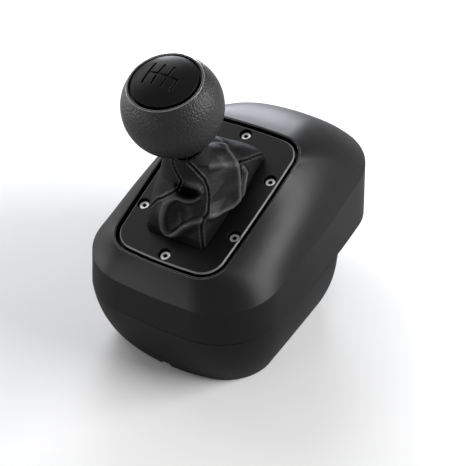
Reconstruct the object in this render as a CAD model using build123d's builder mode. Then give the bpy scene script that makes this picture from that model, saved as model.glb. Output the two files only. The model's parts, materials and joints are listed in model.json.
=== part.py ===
from build123d import *
import os
from math import cos, radians, sin, tan

os.makedirs("parts", exist_ok=True)

# Frame: +Z up, +Y away from the driver, +X to the right, origin under the middle of the housing.
# Clearances shared by all pieces
run_gap = 0.05
soft_gap = 0.3
seam_gap = 0.4
overrun = 6.0

# Housing outline at the seam between the two shells
body_length = 187.4
near_half_width = 59.0
widest_half_width = 61.7
widest_place_share = 0.4
far_half_width = 56.0
near_bow = 4.8
far_bow = 6.0
near_corner = 39.0
far_corner = 46.0
shell_wall = 3.0
seam_height = 43.1

# Crease between the upright wall and the shoulder
crease_height = 72.3
crease_slope = 6.0
crease_inset = 1.7

# Shoulder halfway between the crease and the bezel
shoulder_height = 91.4
shoulder_slope = 12.7
shoulder_near_half = 45.5
shoulder_widest_half = 52.0
shoulder_far_half = 44.0
shoulder_near_end = 54.5
shoulder_far_end = 93.0
shoulder_near_bow = 4.0
shoulder_far_bow = 8.0
shoulder_near_corner = 31.0
shoulder_far_corner = 36.0

# Bezel plate
bezel_tilt = 19.4
bezel_height = 97.8
bezel_setback = 60.0
bezel_near_half = 32.9
bezel_far_half = 35.6
bezel_half_length = 51.1
bezel_bow = 2.0
bezel_corner = 13.0
bezel_thickness = 5.5
bezel_edge = 0.8
bezel_groove = 2.3
lip_width = 1.0
ledge_thickness = 3.5
ledge_half_width = 25.0
ledge_half_length = 41.0
ledge_corner = 8.0
boot_half_width = 19.6
boot_half_length = 36.0
boot_corner = 6.0

# Bezel screws
bezel_screw_spread = 30.0
bezel_screw_stagger = 20.8
bezel_screw_reach = 46.0
bezel_bore_radius = 3.8
bezel_bore_depth = 4.2
screw_head_radius = 2.75
screw_head_height = 2.2
screw_socket_radius = 1.45
screw_socket_depth = 1.4
screw_radius = 1.5
bezel_screw_length = 8.0

# Base shell
base_length = 127.3
foot_height = 1.5
base_bottom_half = 51.3
base_bottom_widest = 51.7
base_bottom_rear_half = 51.6
base_bottom_near_end = 46.9
base_bottom_bow = 12.9
base_bottom_corner = 30.0
base_belly_height = 16.0
base_belly_half = 56.3
base_belly_widest = 57.6
base_belly_rear_half = 57.0
base_belly_near_end = 53.6
base_belly_bow = 9.5
base_belly_corner = 35.0
base_rear_corner = 21.0
base_floor = 3.0
tongue_wall = 1.5
tongue_height = 3.0
tongue_gap = 0.4
notch_width = 7.0
notch_height = 4.0
notch_depth = 2.0
side_notch_place = 50.7

# Overhang that lies on the table
overhang_plate = 3.0
overhang_gap = 0.3
table_pad_thickness = 1.5
table_pad_inset = 9.0
table_pad_start = 10.4
overhang_screw_inset = 21.7
overhang_screw_far_inset = 31.7
overhang_screw_share = 1 / 3
overhang_screw_far_place = 16.1

# Posts and screws that join the shells
post_radius = 5.0
housing_screw_radius = 1.75
housing_screw_head = 3.0
housing_screw_head_height = 2.4
housing_screw_seat = 30.0
housing_screw_reach = 12.0
post_height = 62.0
near_post_inset = 19.7
near_post_place = 41.7
rear_post_inset = 16.7
rear_post_setback = 15.6

# Feet and mounting inserts
foot_radius = 6.0
foot_recess = 1.0
near_foot_spread = 20.0
near_foot_place = 23.7
side_foot_spread = 43.0
side_foot_place = 87.7
insert_spread = 29.75
insert_place = 33.7
insert_radius = 4.0
insert_bore = 2.5
insert_length = 8.0
insert_boss_radius = 6.5

# Lever axis and pivot, measured from the middle of the bezel
lever_offset = -4.8
pivot_depth = 40.0
stroke_angle = 12.0
plane_angle = 10.0
push_travel = 7.0

# Knob, measured from the pivot along the lever
knob_height = 116.5
knob_radius = 26.5
knob_throat = 10.5
knob_throat_depth = 12.0
cap_ring_radius = 19.9
cap_ring_width = 1.3
cap_ring_rise = 0.4
cap_groove = 1.4
cap_rise = 4.6
cap_edge_height = 0.9
cap_seat_depth = 2.6
pattern_step = 5.6
pattern_reach = 7.2
pattern_width = 1.4
pattern_depth = 0.7
knob_insert_radius = 7.0
knob_insert_length = 14.0
spring_seat_radius = 9.2
spring_seat_height = 2.0

# Rod, tube and hub of the lever
rod_radius = 4.0
rod_tail = 22.0
rod_top_inset = 4.5
gate_pin_radius = 1.75
gate_pin_grip = 7.0
gate_pin_tail = 44.5
collar_radius = 6.5
collar_height = 3.0
finger_reach = 13.0
finger_width = 5.0
tube_radius = 6.5
tube_top = 86.0
tube_seat_depth = 5.5
hub_radius = 9.0
hub_top = 9.0
hub_bottom = 12.0
push_spring_radius = 6.3
push_spring_wall = 1.2

# Boot
boot_wall = 1.5
boot_hem = 1.2
boot_throat_radius = 8.3
boot_throat_drop = 10.0
boot_throat_length = 5.0
boot_frame_width = 3.8
boot_frame_thickness = 3.0
boot_rise_shares = (0.0, 0.22, 0.38, 0.6, 0.78, 1.0)
boot_width_shares = (1.0, 1.05, 0.84, 0.82, 0.6, 0.0)
boot_length_shares = (1.0, 0.94, 0.72, 0.58, 0.36, 0.0)
boot_corner_shares = (1.0, 1.6, 1.2, 1.6, 1.5, 3.0)
boot_collar_wall = 1.4
boot_collar_height = 3.6
boot_screw_radius = 1.0
boot_screw_head = 1.8
boot_screw_head_height = 1.2
boot_screw_length = 6.0
boot_screw_place = 26.0

# Yoke and its shafts
yoke_inner_half = 15.0
yoke_outer_half = 19.0
yoke_inner_reach = 11.0
yoke_outer_reach = 15.5
yoke_half_height = 5.5
yoke_corner = 2.5
yoke_post_half = 4.0
yoke_post_top = 17.5
shaft_radius = 3.0
shaft_right_end = 35.5
shaft_left_end = 31.0
pin_radius = 2.5
pin_inner_end = 5.2
pin_near_end = 16.2
pin_far_end = 22.5
bush_wall = 1.5
centring_height = 14.5
centring_radius = 2.6
centring_wall = 0.8

# Side plates, spacer and gate
plate_inside = 26.0
plate_thickness = 3.0
frame_seat = 8.0
plate_near_foot = 22.0
plate_far_foot = 18.0
plate_bulge = 26.0
plate_bulge_rise = 14.0
plate_bulge_drop = 24.0
plate_top_half = 14.0
plate_top_corner = 9.0
flange_width = 11.0
flange_near = 20.0
flange_far = 16.0
frame_screw_out = 6.0
frame_screw_near = 14.0
frame_screw_far = 10.0
frame_screw_depth = 4.0
frame_boss_radius = 4.5
spacer_radius = 3.5
spacer_back = 12.0
spacer_drop = 34.0
gate_depth = 38.0
gate_thickness = 2.5
gate_half_length = 15.0
gate_slot_width = 4.7
gate_slot_end = 0.25
gate_tab_half = 6.0

# Detent
sector_radius = 14.0
sector_hub_radius = 6.0
sector_half_angle = 28.0
sector_inner = 19.6
sector_thickness = 3.4
notch_radius = 2.0
notch_bite = 0.8
detent_half = 5.0
detent_top = 17.0
detent_length = 17.0
detent_gap = 0.15
detent_plunger_radius = 2.0
detent_plunger_length = 10.0
detent_spring_wall = 0.6

# Angle sensors
sensor_half = 8.0
sensor_thickness = 5.0
rotor_wall = 1.5
rotor_gap = 0.1
rotor_length = 4.6
side_sensor_half = 6.5

# Reverse switch on the hub
switch_near_side = 8.5
switch_width = 6.0
switch_half_length = 6.5
switch_height = 6.5
switch_stroke = 1.0
switch_plunger_half = 1.2
switch_rest = 0.3
bracket_thickness = 1.5
bracket_arm_drop = 10.0

# Circuit board and gland
board_place = 31.7
board_half_width = 22.0
board_half_length = 15.0
board_thickness = 1.6
board_height = 10.0
board_post_radius = 3.0
board_post_inset = 3.5
board_screw_radius = 1.2
board_screw_head = 2.2
board_screw_depth = 4.0
board_screw_head_height = 1.4
gland_height = 24.0
gland_radius = 5.0
gland_flange = 7.0
gland_flange_height = 2.0
gland_nose_radius = 4.4
gland_nose = 4.0
gland_bore = 2.7
chip_half = 6.0
chip_height = 1.6
socket_half_width = 7.0
socket_half_length = 3.0
socket_height = 6.0
socket_inset = 4.0
capacitor_radius = 2.5
capacitor_height = 7.0
capacitor_place = 14.0

# Table clamps
clamp_spread = 22.0
clamp_setback = 18.0
clamp_travel = 20.0
clamp_screw_radius = 4.0
clamp_knob_radius = 13.0
clamp_knob_height = 7.0
clamp_knob_lift = 1.0
clamp_grip_radius = 2.6
clamp_grips = 10
clamp_pocket_radius = 15.0
clamp_pocket_depth = 9.0
clamp_pocket_wall = 2.0
clamp_collar_radius = 6.5
clamp_collar_height = 2.0
nut_half = 8.0
nut_height = 12.0
jaw_web_half = 4.0
jaw_web_height = 7.0
jaw_slot_gap = 0.5
jaw_leg = 6.0
jaw_arm_half = 9.0
jaw_arm_length = 24.0
jaw_arm_bottom = 5.5
jaw_arm_thickness = 6.5
jaw_pad_thickness = 1.5
jaw_pad_inset = 1.5
bridge_half_width = 6.0
bridge_height = 4.0
bridge_spread = 35.0
bridge_post_radius = 4.0
bridge_screw_radius = 1.5
bridge_screw_head = 3.0
bridge_screw_head_height = 2.0
bridge_screw_depth = 8.0

# Derived places
near_end = -body_length / 2
far_end = body_length / 2
widest_place = near_end + body_length * widest_place_share
base_rear = near_end + base_length
bezel_place = near_end + bezel_setback
bezel_plane = Plane(
    origin=(0, bezel_place, bezel_height),
    x_dir=(1, 0, 0),
    z_dir=(0, -sin(radians(bezel_tilt)), cos(radians(bezel_tilt))),
)
pivot = bezel_plane.from_local_coords((0, lever_offset, -pivot_depth))
seam_plane = Plane.XY.offset(seam_height)
clamp_place = base_rear - clamp_setback
pocket_ceiling = foot_height + clamp_pocket_depth
pocket_top = pocket_ceiling + base_floor
floor_top = foot_height + base_floor
jaw_web_bottom = pocket_top + jaw_slot_gap
nut_bottom = pocket_top + clamp_collar_height + jaw_slot_gap
bridge_bottom = nut_bottom + nut_height + clamp_travel + jaw_slot_gap
gate_pitch = gate_depth * tan(radians(plane_angle))
gate_reach = gate_depth * tan(radians(stroke_angle)) + gate_slot_end
throat_bottom = knob_height - knob_radius
throat_top = throat_bottom + knob_throat_depth
ring_height = (knob_radius**2 - cap_ring_radius**2) ** 0.5
cap_radius = cap_ring_radius - cap_ring_width - cap_groove
collar_top = -hub_bottom - soft_gap
collar_bottom = collar_top - collar_height
switch_pressed_top = collar_bottom - push_travel - rotor_gap
switch_top = switch_pressed_top - switch_rest
switch_bottom = switch_top - switch_height
bracket_side = switch_near_side + switch_width + run_gap


def level(across_place, along_place, height):
    """A plane square to the lever, placed from the pivot."""
    lever_plane = Plane(origin=pivot, x_dir=bezel_plane.x_dir, z_dir=bezel_plane.z_dir)
    place = lever_plane.from_local_coords((across_place, along_place, height))
    return Plane(origin=place, x_dir=bezel_plane.x_dir, z_dir=bezel_plane.z_dir)


def crosswise(across_place, along_place, height):
    """A plane that looks along +X: its own x runs up the bezel and its own y along the lever."""
    place = level(across_place, along_place, height).origin
    return Plane(origin=place, x_dir=bezel_plane.y_dir, z_dir=bezel_plane.x_dir)


def lengthwise(across_place, along_place, height):
    """A plane that looks up the slope of the bezel: its own y runs down the lever."""
    place = level(across_place, along_place, height).origin
    return Plane(origin=place, x_dir=bezel_plane.x_dir, z_dir=bezel_plane.y_dir)


def sloped(height, slope):
    """A plane through (0, 0, height) that rises towards the far end."""
    lean = radians(slope)
    return Plane(origin=(0, 0, height), x_dir=(1, 0, 0), z_dir=(0, -sin(lean), cos(lean)))


def end_edge(half, place, bow):
    """The near or far edge of an outline: straight, or an arc that bows outwards."""
    if bow == 0:
        return Line((-half, place), (half, place))
    return ThreePointArc((-half, place), (0, place + bow), (half, place))


def outline(plane, near, middle, far, bows, corners):
    """A closed outline from three stations, each a half width and its place along the body."""
    with BuildSketch(plane) as shape:
        with BuildLine():
            end_edge(near[0], near[1], -bows[0])
            ThreePointArc(near, middle, far)
            end_edge(far[0], far[1], bows[1])
            ThreePointArc((-far[0], far[1]), (-middle[0], middle[1]), (-near[0], near[1]))
        make_face()
        fillet(shape.vertices().group_by(Axis.Y)[0], corners[0])
        fillet(shape.vertices().group_by(Axis.Y)[-1], corners[1])
    return shape.sketch


def side_half_width(place):
    """Half width of the housing at the seam, at a place along the body."""
    stations = (
        (near_end + near_bow, near_half_width),
        (widest_place, widest_half_width),
        (far_end - far_bow, far_half_width),
    )
    total = 0
    for place_here, width_here in stations:
        weight = width_here
        for place_other, _ in stations:
            if place_other != place_here:
                weight = weight * (place - place_other) / (place_here - place_other)
        total = total + weight
    return total


def housing_outline(plane, slope, inset):
    """The housing's outline at the seam or the crease, drawn in by inset."""
    stretch = 1 / cos(radians(slope))
    return outline(
        plane,
        (near_half_width - inset, (near_end + near_bow + inset) * stretch),
        (widest_half_width - inset, widest_place * stretch),
        (far_half_width - inset, (far_end - far_bow - inset) * stretch),
        (near_bow, far_bow),
        (near_corner - inset, far_corner - inset),
    )


def shoulder_outline(drop, inset):
    """The housing's outline halfway up the shoulder."""
    stretch = 1 / cos(radians(shoulder_slope))
    near_place = bezel_place - shoulder_near_end + shoulder_near_bow + inset
    far_place = bezel_place + shoulder_far_end - shoulder_far_bow - inset
    return outline(
        sloped(shoulder_height, shoulder_slope).offset(-drop),
        (shoulder_near_half - inset, near_place * stretch),
        (shoulder_widest_half - inset, widest_place * stretch),
        (shoulder_far_half - inset, far_place * stretch),
        (shoulder_near_bow, shoulder_far_bow),
        (shoulder_near_corner - inset, shoulder_far_corner - inset),
    )


def bezel_outline(height, growth):
    """The bezel's outline, grown or drawn in, at a height above the bezel's face."""
    return outline(
        bezel_plane.offset(height),
        (bezel_near_half + growth, -bezel_half_length - growth + bezel_bow),
        ((bezel_near_half + bezel_far_half) / 2 + growth + bezel_edge, 0),
        (bezel_far_half + growth, bezel_half_length + growth - bezel_bow),
        (bezel_bow, bezel_bow),
        (bezel_corner + growth, bezel_corner + growth),
    )


def base_section(height, inset, near_half, near_place, widest_half, rear_half, bow, near_radius):
    """An outline of the base shell with its flat rear edge."""
    rear = base_rear - inset
    near = (near_half - inset, near_place + inset)
    middle = (widest_half - inset, (near_place + inset + rear) / 2)
    far = (rear_half - inset, rear)
    corners = (near_radius - inset, base_rear_corner - inset)
    return outline(Plane.XY.offset(height), near, middle, far, (bow, 0), corners)


def base_bottom(height, inset):
    """The base shell's outline at its bottom."""
    near_place = bezel_place - base_bottom_near_end + base_bottom_bow
    return base_section(height, inset, base_bottom_half, near_place, base_bottom_widest,
                        base_bottom_rear_half, base_bottom_bow, base_bottom_corner)


def base_belly(inset):
    """The base shell's outline at its belly."""
    near_place = bezel_place - base_belly_near_end + base_belly_bow
    return base_section(base_belly_height, inset, base_belly_half, near_place, base_belly_widest,
                        base_belly_rear_half, base_belly_bow, base_belly_corner)


def base_seam(height, inset):
    """The base shell's outline at the seam, which follows the housing above it."""
    near_place = near_end + near_bow
    middle_place = (near_place + base_rear) / 2
    return base_section(height, inset, near_half_width, near_place, side_half_width(middle_place),
                        side_half_width(base_rear), near_bow, near_corner)


def slab(plane, half_x, half_y):
    """A rectangle on a plane, from its half sizes."""
    with BuildSketch(plane) as shape:
        Rectangle(2 * half_x, 2 * half_y)
    return shape.sketch


def disc(plane, radius):
    """A circle on a plane."""
    with BuildSketch(plane) as shape:
        Circle(radius)
    return shape.sketch


def ring(plane, outer, inner):
    """A flat ring on a plane."""
    with BuildSketch(plane) as shape:
        Circle(outer)
        Circle(inner, mode=Mode.SUBTRACT)
    return shape.sketch


def opening_outline(plane, half_width, half_length, corner):
    """A rounded rectangle, such as the boot's opening."""
    with BuildSketch(plane) as shape:
        RectangleRounded(2 * half_width, 2 * half_length, corner)
    return shape.sketch


def finish(piece, name):
    """Label a piece and write it."""
    piece.part.label = name
    export_step(piece.part, "parts/" + name + ".step")


on_base = (Align.CENTER, Align.CENTER, Align.MIN)
behind_base = (Align.CENTER, Align.MAX, Align.MIN)
bezel_screw_places = [(0, -bezel_screw_reach), (0, bezel_screw_reach)]
boot_screw_places = []
frame_middle = ledge_half_width - soft_gap - boot_frame_width / 2
for across_sign in (-1, 1):
    for along_sign in (-1, 1):
        bezel_screw_places.append((across_sign * bezel_screw_spread, along_sign * bezel_screw_stagger))
        boot_screw_places.append((across_sign * frame_middle, along_sign * boot_screw_place - lever_offset))

post_places = []
overhang_screw_places = []
foot_places = []
for side in (-1, 1):
    post_places.append((side * (widest_half_width - near_post_inset), near_end + near_post_place))
    post_places.append((side * (widest_half_width - rear_post_inset), base_rear - rear_post_setback))
    overhang_screw_places.append((side * (widest_half_width - overhang_screw_inset),
                                  base_rear + (far_end - base_rear) * overhang_screw_share))
    overhang_screw_places.append((side * (widest_half_width - overhang_screw_far_inset),
                                  far_end - overhang_screw_far_place))
    foot_places.append((side * near_foot_spread, near_end + near_foot_place))
    foot_places.append((side * side_foot_spread, near_end + side_foot_place))
insert_places = [(-insert_spread, near_end + insert_place), (insert_spread, near_end + insert_place)]

frame_screw_places = []
board_screw_places = []
board_middle = near_end + board_place
for side in (-1, 1):
    for foot in (-frame_screw_near, frame_screw_far):
        spread = plate_inside + plate_thickness + frame_screw_out
        frame_screw_places.append((side * spread, pivot.Y + foot, frame_seat))
    for end in (-1, 1):
        place = board_middle + end * (board_half_length - board_post_inset)
        board_screw_places.append((side * (board_half_width - board_post_inset), place, board_height))
gland_plane = Plane(origin=(0, base_rear, gland_height), x_dir=(1, 0, 0), z_dir=(0, 1, 0))


# Top shell: upright wall, shoulder, recess for the bezel, posts
with BuildPart() as outer_form:
    loft([housing_outline(seam_plane, 0, 0),
          housing_outline(sloped(crease_height, crease_slope), crease_slope, crease_inset)], ruled=True)
    loft([housing_outline(sloped(crease_height, crease_slope), crease_slope, crease_inset),
          shoulder_outline(0, 0),
          bezel_outline(0, bezel_groove + lip_width)])

with BuildPart() as inner_form:
    inner_crease = sloped(crease_height - lip_width, crease_slope)
    extrude(housing_outline(seam_plane, 0, shell_wall), amount=-overrun)
    loft([housing_outline(seam_plane, 0, shell_wall),
          housing_outline(inner_crease, crease_slope, crease_inset + shell_wall)], ruled=True)
    loft([housing_outline(inner_crease, crease_slope, crease_inset + shell_wall),
          shoulder_outline(shell_wall / 2, shell_wall),
          bezel_outline(-bezel_thickness - ledge_thickness, lip_width)])

with BuildPart() as top_shell:
    for place in post_places:
        with Locations((place[0], place[1], seam_height)):
            Cylinder(post_radius, post_height, align=on_base)
    for place in overhang_screw_places:
        with Locations((place[0], place[1], seam_height + overhang_plate)):
            Cylinder(post_radius, post_height, align=on_base)
    add(outer_form.part, mode=Mode.INTERSECT)
    add(outer_form.part - inner_form.part)
    extrude(bezel_outline(0, bezel_groove), amount=-bezel_thickness, mode=Mode.SUBTRACT)
    extrude(opening_outline(bezel_plane, ledge_half_width, ledge_half_length, ledge_corner),
            amount=-bezel_thickness - ledge_thickness - overrun, mode=Mode.SUBTRACT)
    for place in bezel_screw_places:
        start = Plane(origin=bezel_plane.from_local_coords((place[0], place[1], -bezel_thickness)),
                      x_dir=bezel_plane.x_dir, z_dir=bezel_plane.z_dir)
        extrude(disc(start, screw_radius + run_gap), amount=-ledge_thickness - overrun, mode=Mode.SUBTRACT)
    for place in post_places:
        with Locations((place[0], place[1], seam_height)):
            Cylinder(housing_screw_radius + run_gap, housing_screw_reach + seam_gap,
                     align=on_base, mode=Mode.SUBTRACT)
    for place in overhang_screw_places:
        with Locations((place[0], place[1], seam_height + overhang_plate)):
            Cylinder(housing_screw_radius + run_gap, housing_screw_reach + seam_gap,
                     align=on_base, mode=Mode.SUBTRACT)
finish(top_shell, "top_shell")

# Base shell: bowl with a flat rear wall, posts, knob pockets, bosses and openings
seam_top = seam_height - seam_gap
with BuildPart() as base_form:
    loft([base_bottom(foot_height, 0), base_belly(0), base_seam(seam_top, 0)])

with BuildPart() as base_hollow:
    loft([base_bottom(floor_top, shell_wall), base_belly(shell_wall), base_seam(seam_top, shell_wall)])
    extrude(base_seam(seam_top, shell_wall), amount=overrun)

with BuildPart() as base_posts:
    for place in post_places:
        with Locations((place[0], place[1], foot_height)):
            Cylinder(post_radius, seam_top - foot_height, align=on_base)
    for place in insert_places:
        with Locations((place[0], place[1], foot_height)):
            Cylinder(insert_boss_radius, insert_length, align=on_base)
    for side in (-1, 1):
        with Locations((side * clamp_spread, clamp_place, foot_height)):
            Cylinder(clamp_pocket_radius + clamp_pocket_wall, pocket_top - foot_height, align=on_base)
    for place in frame_screw_places:
        with Locations((place[0], place[1], foot_height)):
            Cylinder(frame_boss_radius, place[2] - foot_height, align=on_base)
    for place in board_screw_places:
        with Locations((place[0], place[1], foot_height)):
            Cylinder(board_post_radius, place[2] - foot_height, align=on_base)
    add(base_form.part, mode=Mode.INTERSECT)

with BuildPart() as base_shell:
    add(base_form.part - base_hollow.part)
    extrude(base_seam(seam_top, shell_wall - tongue_gap)
            - base_seam(seam_top, shell_wall + tongue_gap + tongue_wall), amount=-tongue_height)
    extrude(base_seam(seam_top, shell_wall + tongue_gap)
            - base_seam(seam_top, shell_wall + tongue_gap + tongue_wall), amount=tongue_height)
    add(base_posts.part)
    for side in (-1, 1):
        with Locations((side * bridge_spread, clamp_place, pocket_ceiling)):
            Cylinder(bridge_post_radius, bridge_bottom - pocket_ceiling, align=on_base)
        with Locations((side * bridge_spread, clamp_place, bridge_bottom - bridge_screw_depth)):
            Cylinder(bridge_screw_radius + run_gap, bridge_screw_depth, align=on_base, mode=Mode.SUBTRACT)
        with Locations((side * clamp_spread, clamp_place, 0)):
            Cylinder(clamp_pocket_radius, pocket_ceiling, align=on_base, mode=Mode.SUBTRACT)
            Cylinder(clamp_screw_radius + run_gap, pocket_top + overrun, align=on_base,
                     mode=Mode.SUBTRACT)
        slot_height = seam_top + tongue_height - jaw_web_bottom + jaw_slot_gap
        with Locations((side * clamp_spread, base_rear - shell_wall / 2, jaw_web_bottom - jaw_slot_gap)):
            Box(2 * (jaw_web_half + jaw_slot_gap), 3 * shell_wall, slot_height, align=on_base,
                mode=Mode.SUBTRACT)
        with Locations((side * base_bottom_widest, near_end + side_notch_place, foot_height)):
            Box(2 * notch_depth, notch_width, notch_height, align=on_base, mode=Mode.SUBTRACT)
    with Locations((0, bezel_place - base_bottom_near_end, foot_height)):
        Box(notch_width, 2 * notch_depth, notch_height, align=on_base, mode=Mode.SUBTRACT)
    for place in post_places:
        with Locations((place[0], place[1], 0)):
            Cylinder(housing_screw_radius + run_gap, seam_height, align=on_base, mode=Mode.SUBTRACT)
            Cylinder(housing_screw_head + run_gap, housing_screw_seat, align=on_base, mode=Mode.SUBTRACT)
    for place in foot_places:
        with Locations((place[0], place[1], 0)):
            Cylinder(foot_radius, foot_height + foot_recess, align=on_base, mode=Mode.SUBTRACT)
    for place in insert_places:
        with Locations((place[0], place[1], 0)):
            Cylinder(insert_radius, foot_height + insert_length, align=on_base, mode=Mode.SUBTRACT)
    for place in frame_screw_places:
        with Locations((place[0], place[1], place[2] - frame_screw_depth)):
            Cylinder(screw_radius + run_gap, frame_screw_depth, align=on_base, mode=Mode.SUBTRACT)
    for place in board_screw_places:
        with Locations((place[0], place[1], place[2] - board_screw_depth)):
            Cylinder(board_screw_radius + run_gap, board_screw_depth, align=on_base, mode=Mode.SUBTRACT)
    extrude(disc(gland_plane.offset(-shell_wall - overrun), gland_radius + run_gap),
            amount=shell_wall + 2 * overrun, mode=Mode.SUBTRACT)
finish(base_shell, "base_shell")

# Overhang plate and rubber pad below it
with BuildPart() as overhang:
    extrude(housing_outline(seam_plane, 0, shell_wall + overhang_gap), amount=overhang_plate)
    front = base_rear - shell_wall + overhang_gap
    with Locations((0, front, seam_height)):
        Box(body_length, body_length, overhang_plate, align=behind_base, mode=Mode.SUBTRACT)
    for place in overhang_screw_places:
        with Locations((place[0], place[1], seam_height)):
            Cylinder(housing_screw_radius + run_gap, overhang_plate, align=on_base, mode=Mode.SUBTRACT)
            Cylinder(housing_screw_head + run_gap, housing_screw_head_height / 2, align=on_base,
                     mode=Mode.SUBTRACT)
finish(overhang, "overhang_plate")

with BuildPart() as table_pad:
    extrude(housing_outline(seam_plane, 0, table_pad_inset), amount=-table_pad_thickness)
    with Locations((0, base_rear + table_pad_start, seam_height - table_pad_thickness)):
        Box(body_length, body_length, table_pad_thickness, align=behind_base, mode=Mode.SUBTRACT)
    for place in overhang_screw_places:
        with Locations((place[0], place[1], seam_height - table_pad_thickness)):
            Cylinder(post_radius, table_pad_thickness, align=on_base, mode=Mode.SUBTRACT)
finish(table_pad, "table_pad")

with BuildPart() as overhang_screws:
    for place in overhang_screw_places:
        head_height = housing_screw_head_height / 2
        with Locations((place[0], place[1], seam_height)):
            Cylinder(housing_screw_head, head_height, align=on_base)
            Cylinder(housing_screw_radius, housing_screw_reach, align=on_base)
            Cylinder(screw_socket_radius, head_height / 2, align=on_base, mode=Mode.SUBTRACT)
finish(overhang_screws, "overhang_screws")

with BuildPart() as housing_screws:
    for place in post_places:
        with Locations((place[0], place[1], housing_screw_seat - housing_screw_head_height)):
            Cylinder(housing_screw_head, housing_screw_head_height, align=on_base)
            Cylinder(housing_screw_radius,
                     seam_height + housing_screw_reach - housing_screw_seat + housing_screw_head_height,
                     align=on_base)
            Cylinder(screw_socket_radius, screw_socket_depth, align=on_base, mode=Mode.SUBTRACT)
finish(housing_screws, "housing_screws")

with BuildPart() as rubber_feet:
    for place in foot_places:
        with Locations((place[0], place[1], 0)):
            Cylinder(foot_radius, foot_height + foot_recess, align=on_base)
    fillet(rubber_feet.edges().group_by(Axis.Z)[0], foot_recess / 2)
finish(rubber_feet, "rubber_feet")

with BuildPart() as mounting_inserts:
    for place in insert_places:
        with Locations((place[0], place[1], foot_height)):
            Cylinder(insert_radius, insert_length, align=on_base)
            Cylinder(insert_bore, insert_length, align=on_base, mode=Mode.SUBTRACT)
finish(mounting_inserts, "mounting_inserts")

# Bezel plate and its screws
with BuildPart() as bezel:
    extrude(bezel_outline(0, 0), amount=-bezel_thickness)
    chamfer(bezel.faces().sort_by(Axis(bezel_plane.origin, bezel_plane.z_dir))[-1].edges(), bezel_edge)
    extrude(opening_outline(bezel_plane, boot_half_width, boot_half_length, boot_corner),
            amount=-bezel_thickness, mode=Mode.SUBTRACT)
    for place in bezel_screw_places:
        bore_plane = level(place[0], place[1] - lever_offset, pivot_depth)
        extrude(disc(bore_plane, bezel_bore_radius), amount=-bezel_bore_depth, mode=Mode.SUBTRACT)
        extrude(disc(bore_plane, screw_radius + run_gap), amount=-bezel_thickness, mode=Mode.SUBTRACT)
    for place in boot_screw_places:
        blind_plane = level(place[0], place[1], pivot_depth - bezel_thickness)
        extrude(disc(blind_plane, boot_screw_radius + run_gap), amount=boot_screw_length / 2,
                mode=Mode.SUBTRACT)
finish(bezel, "bezel_plate")

with BuildPart() as bezel_screws:
    for place in bezel_screw_places:
        seat = level(place[0], place[1] - lever_offset, pivot_depth - bezel_bore_depth)
        extrude(disc(seat, screw_head_radius), amount=screw_head_height)
        extrude(disc(seat, screw_radius), amount=-bezel_screw_length)
        with BuildSketch(seat.offset(screw_head_height)):
            RegularPolygon(screw_socket_radius, 6)
        extrude(amount=-screw_socket_depth, mode=Mode.SUBTRACT)
finish(bezel_screws, "bezel_screws")

# Boot, its frame below the bezel and the collar that grips its throat
boot_top = throat_bottom - boot_throat_drop
hem_top = pivot_depth - bezel_thickness - run_gap
frame_top = hem_top - boot_hem - run_gap


def boot_outline(rise_share, width_share, length_share, corner_share, inset):
    """A level outline of the boot at a share of its rise above the bezel."""
    throat = boot_throat_radius - inset
    half_width = throat + (boot_half_width - soft_gap - inset - throat) * width_share
    half_length = throat + (boot_half_length - soft_gap - inset - throat) * length_share
    corner = min((boot_corner - soft_gap) * corner_share, half_width) - run_gap
    middle = -lever_offset * (1 - rise_share)
    plane = level(0, middle, pivot_depth + (boot_top - pivot_depth) * rise_share)
    return opening_outline(plane, half_width, half_length, corner)


def boot_form(inset):
    """The boot's outlines from the bezel up to its throat."""
    shares = zip(boot_rise_shares, boot_width_shares, boot_length_shares, boot_corner_shares)
    return [boot_outline(*row, inset) for row in shares]


with BuildPart() as boot:
    outside = boot_form(0)
    inside = boot_form(boot_wall)
    skirt_height = pivot_depth - hem_top + boot_hem
    hem_plane = bezel_plane.offset(hem_top - pivot_depth)
    hem = opening_outline(hem_plane, ledge_half_width - soft_gap, ledge_half_length - soft_gap, ledge_corner)
    extrude(outside[0], amount=-skirt_height)
    extrude(hem, amount=-boot_hem)
    loft(outside)
    extrude(outside[-1], amount=boot_throat_length)
    extrude(inside[0], amount=-skirt_height, mode=Mode.SUBTRACT)
    loft(inside, mode=Mode.SUBTRACT)
    extrude(inside[-1], amount=boot_throat_length, mode=Mode.SUBTRACT)
    extrude(disc(level(0, 0, boot_top), tube_radius + soft_gap / 2), amount=-boot_throat_length,
            mode=Mode.SUBTRACT)
    for place in boot_screw_places:
        extrude(disc(level(place[0], place[1], hem_top), boot_screw_radius + run_gap), amount=-boot_hem,
                mode=Mode.SUBTRACT)
finish(boot, "boot")

with BuildPart() as boot_frame:
    frame_plane = bezel_plane.offset(frame_top - pivot_depth)
    extrude(opening_outline(frame_plane, ledge_half_width - soft_gap, ledge_half_length - soft_gap,
                            ledge_corner), amount=-boot_frame_thickness)
    extrude(opening_outline(frame_plane, ledge_half_width - soft_gap - boot_frame_width,
                            ledge_half_length - soft_gap - boot_frame_width, boot_corner),
            amount=-boot_frame_thickness, mode=Mode.SUBTRACT)
    for place in boot_screw_places:
        extrude(disc(level(place[0], place[1], frame_top), boot_screw_radius + run_gap),
                amount=-boot_frame_thickness, mode=Mode.SUBTRACT)
finish(boot_frame, "boot_frame")

with BuildPart() as boot_frame_screws:
    for place in boot_screw_places:
        under = level(place[0], place[1], frame_top - boot_frame_thickness)
        extrude(disc(under, boot_screw_head), amount=-boot_screw_head_height)
        extrude(disc(under, boot_screw_radius), amount=boot_screw_length)
finish(boot_frame_screws, "boot_frame_screws")

with BuildPart() as boot_collar:
    collar_inside = boot_throat_radius + soft_gap
    extrude(ring(level(0, 0, boot_top + soft_gap), collar_inside + boot_collar_wall, collar_inside),
            amount=boot_collar_height)
finish(boot_collar, "boot_collar")

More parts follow.
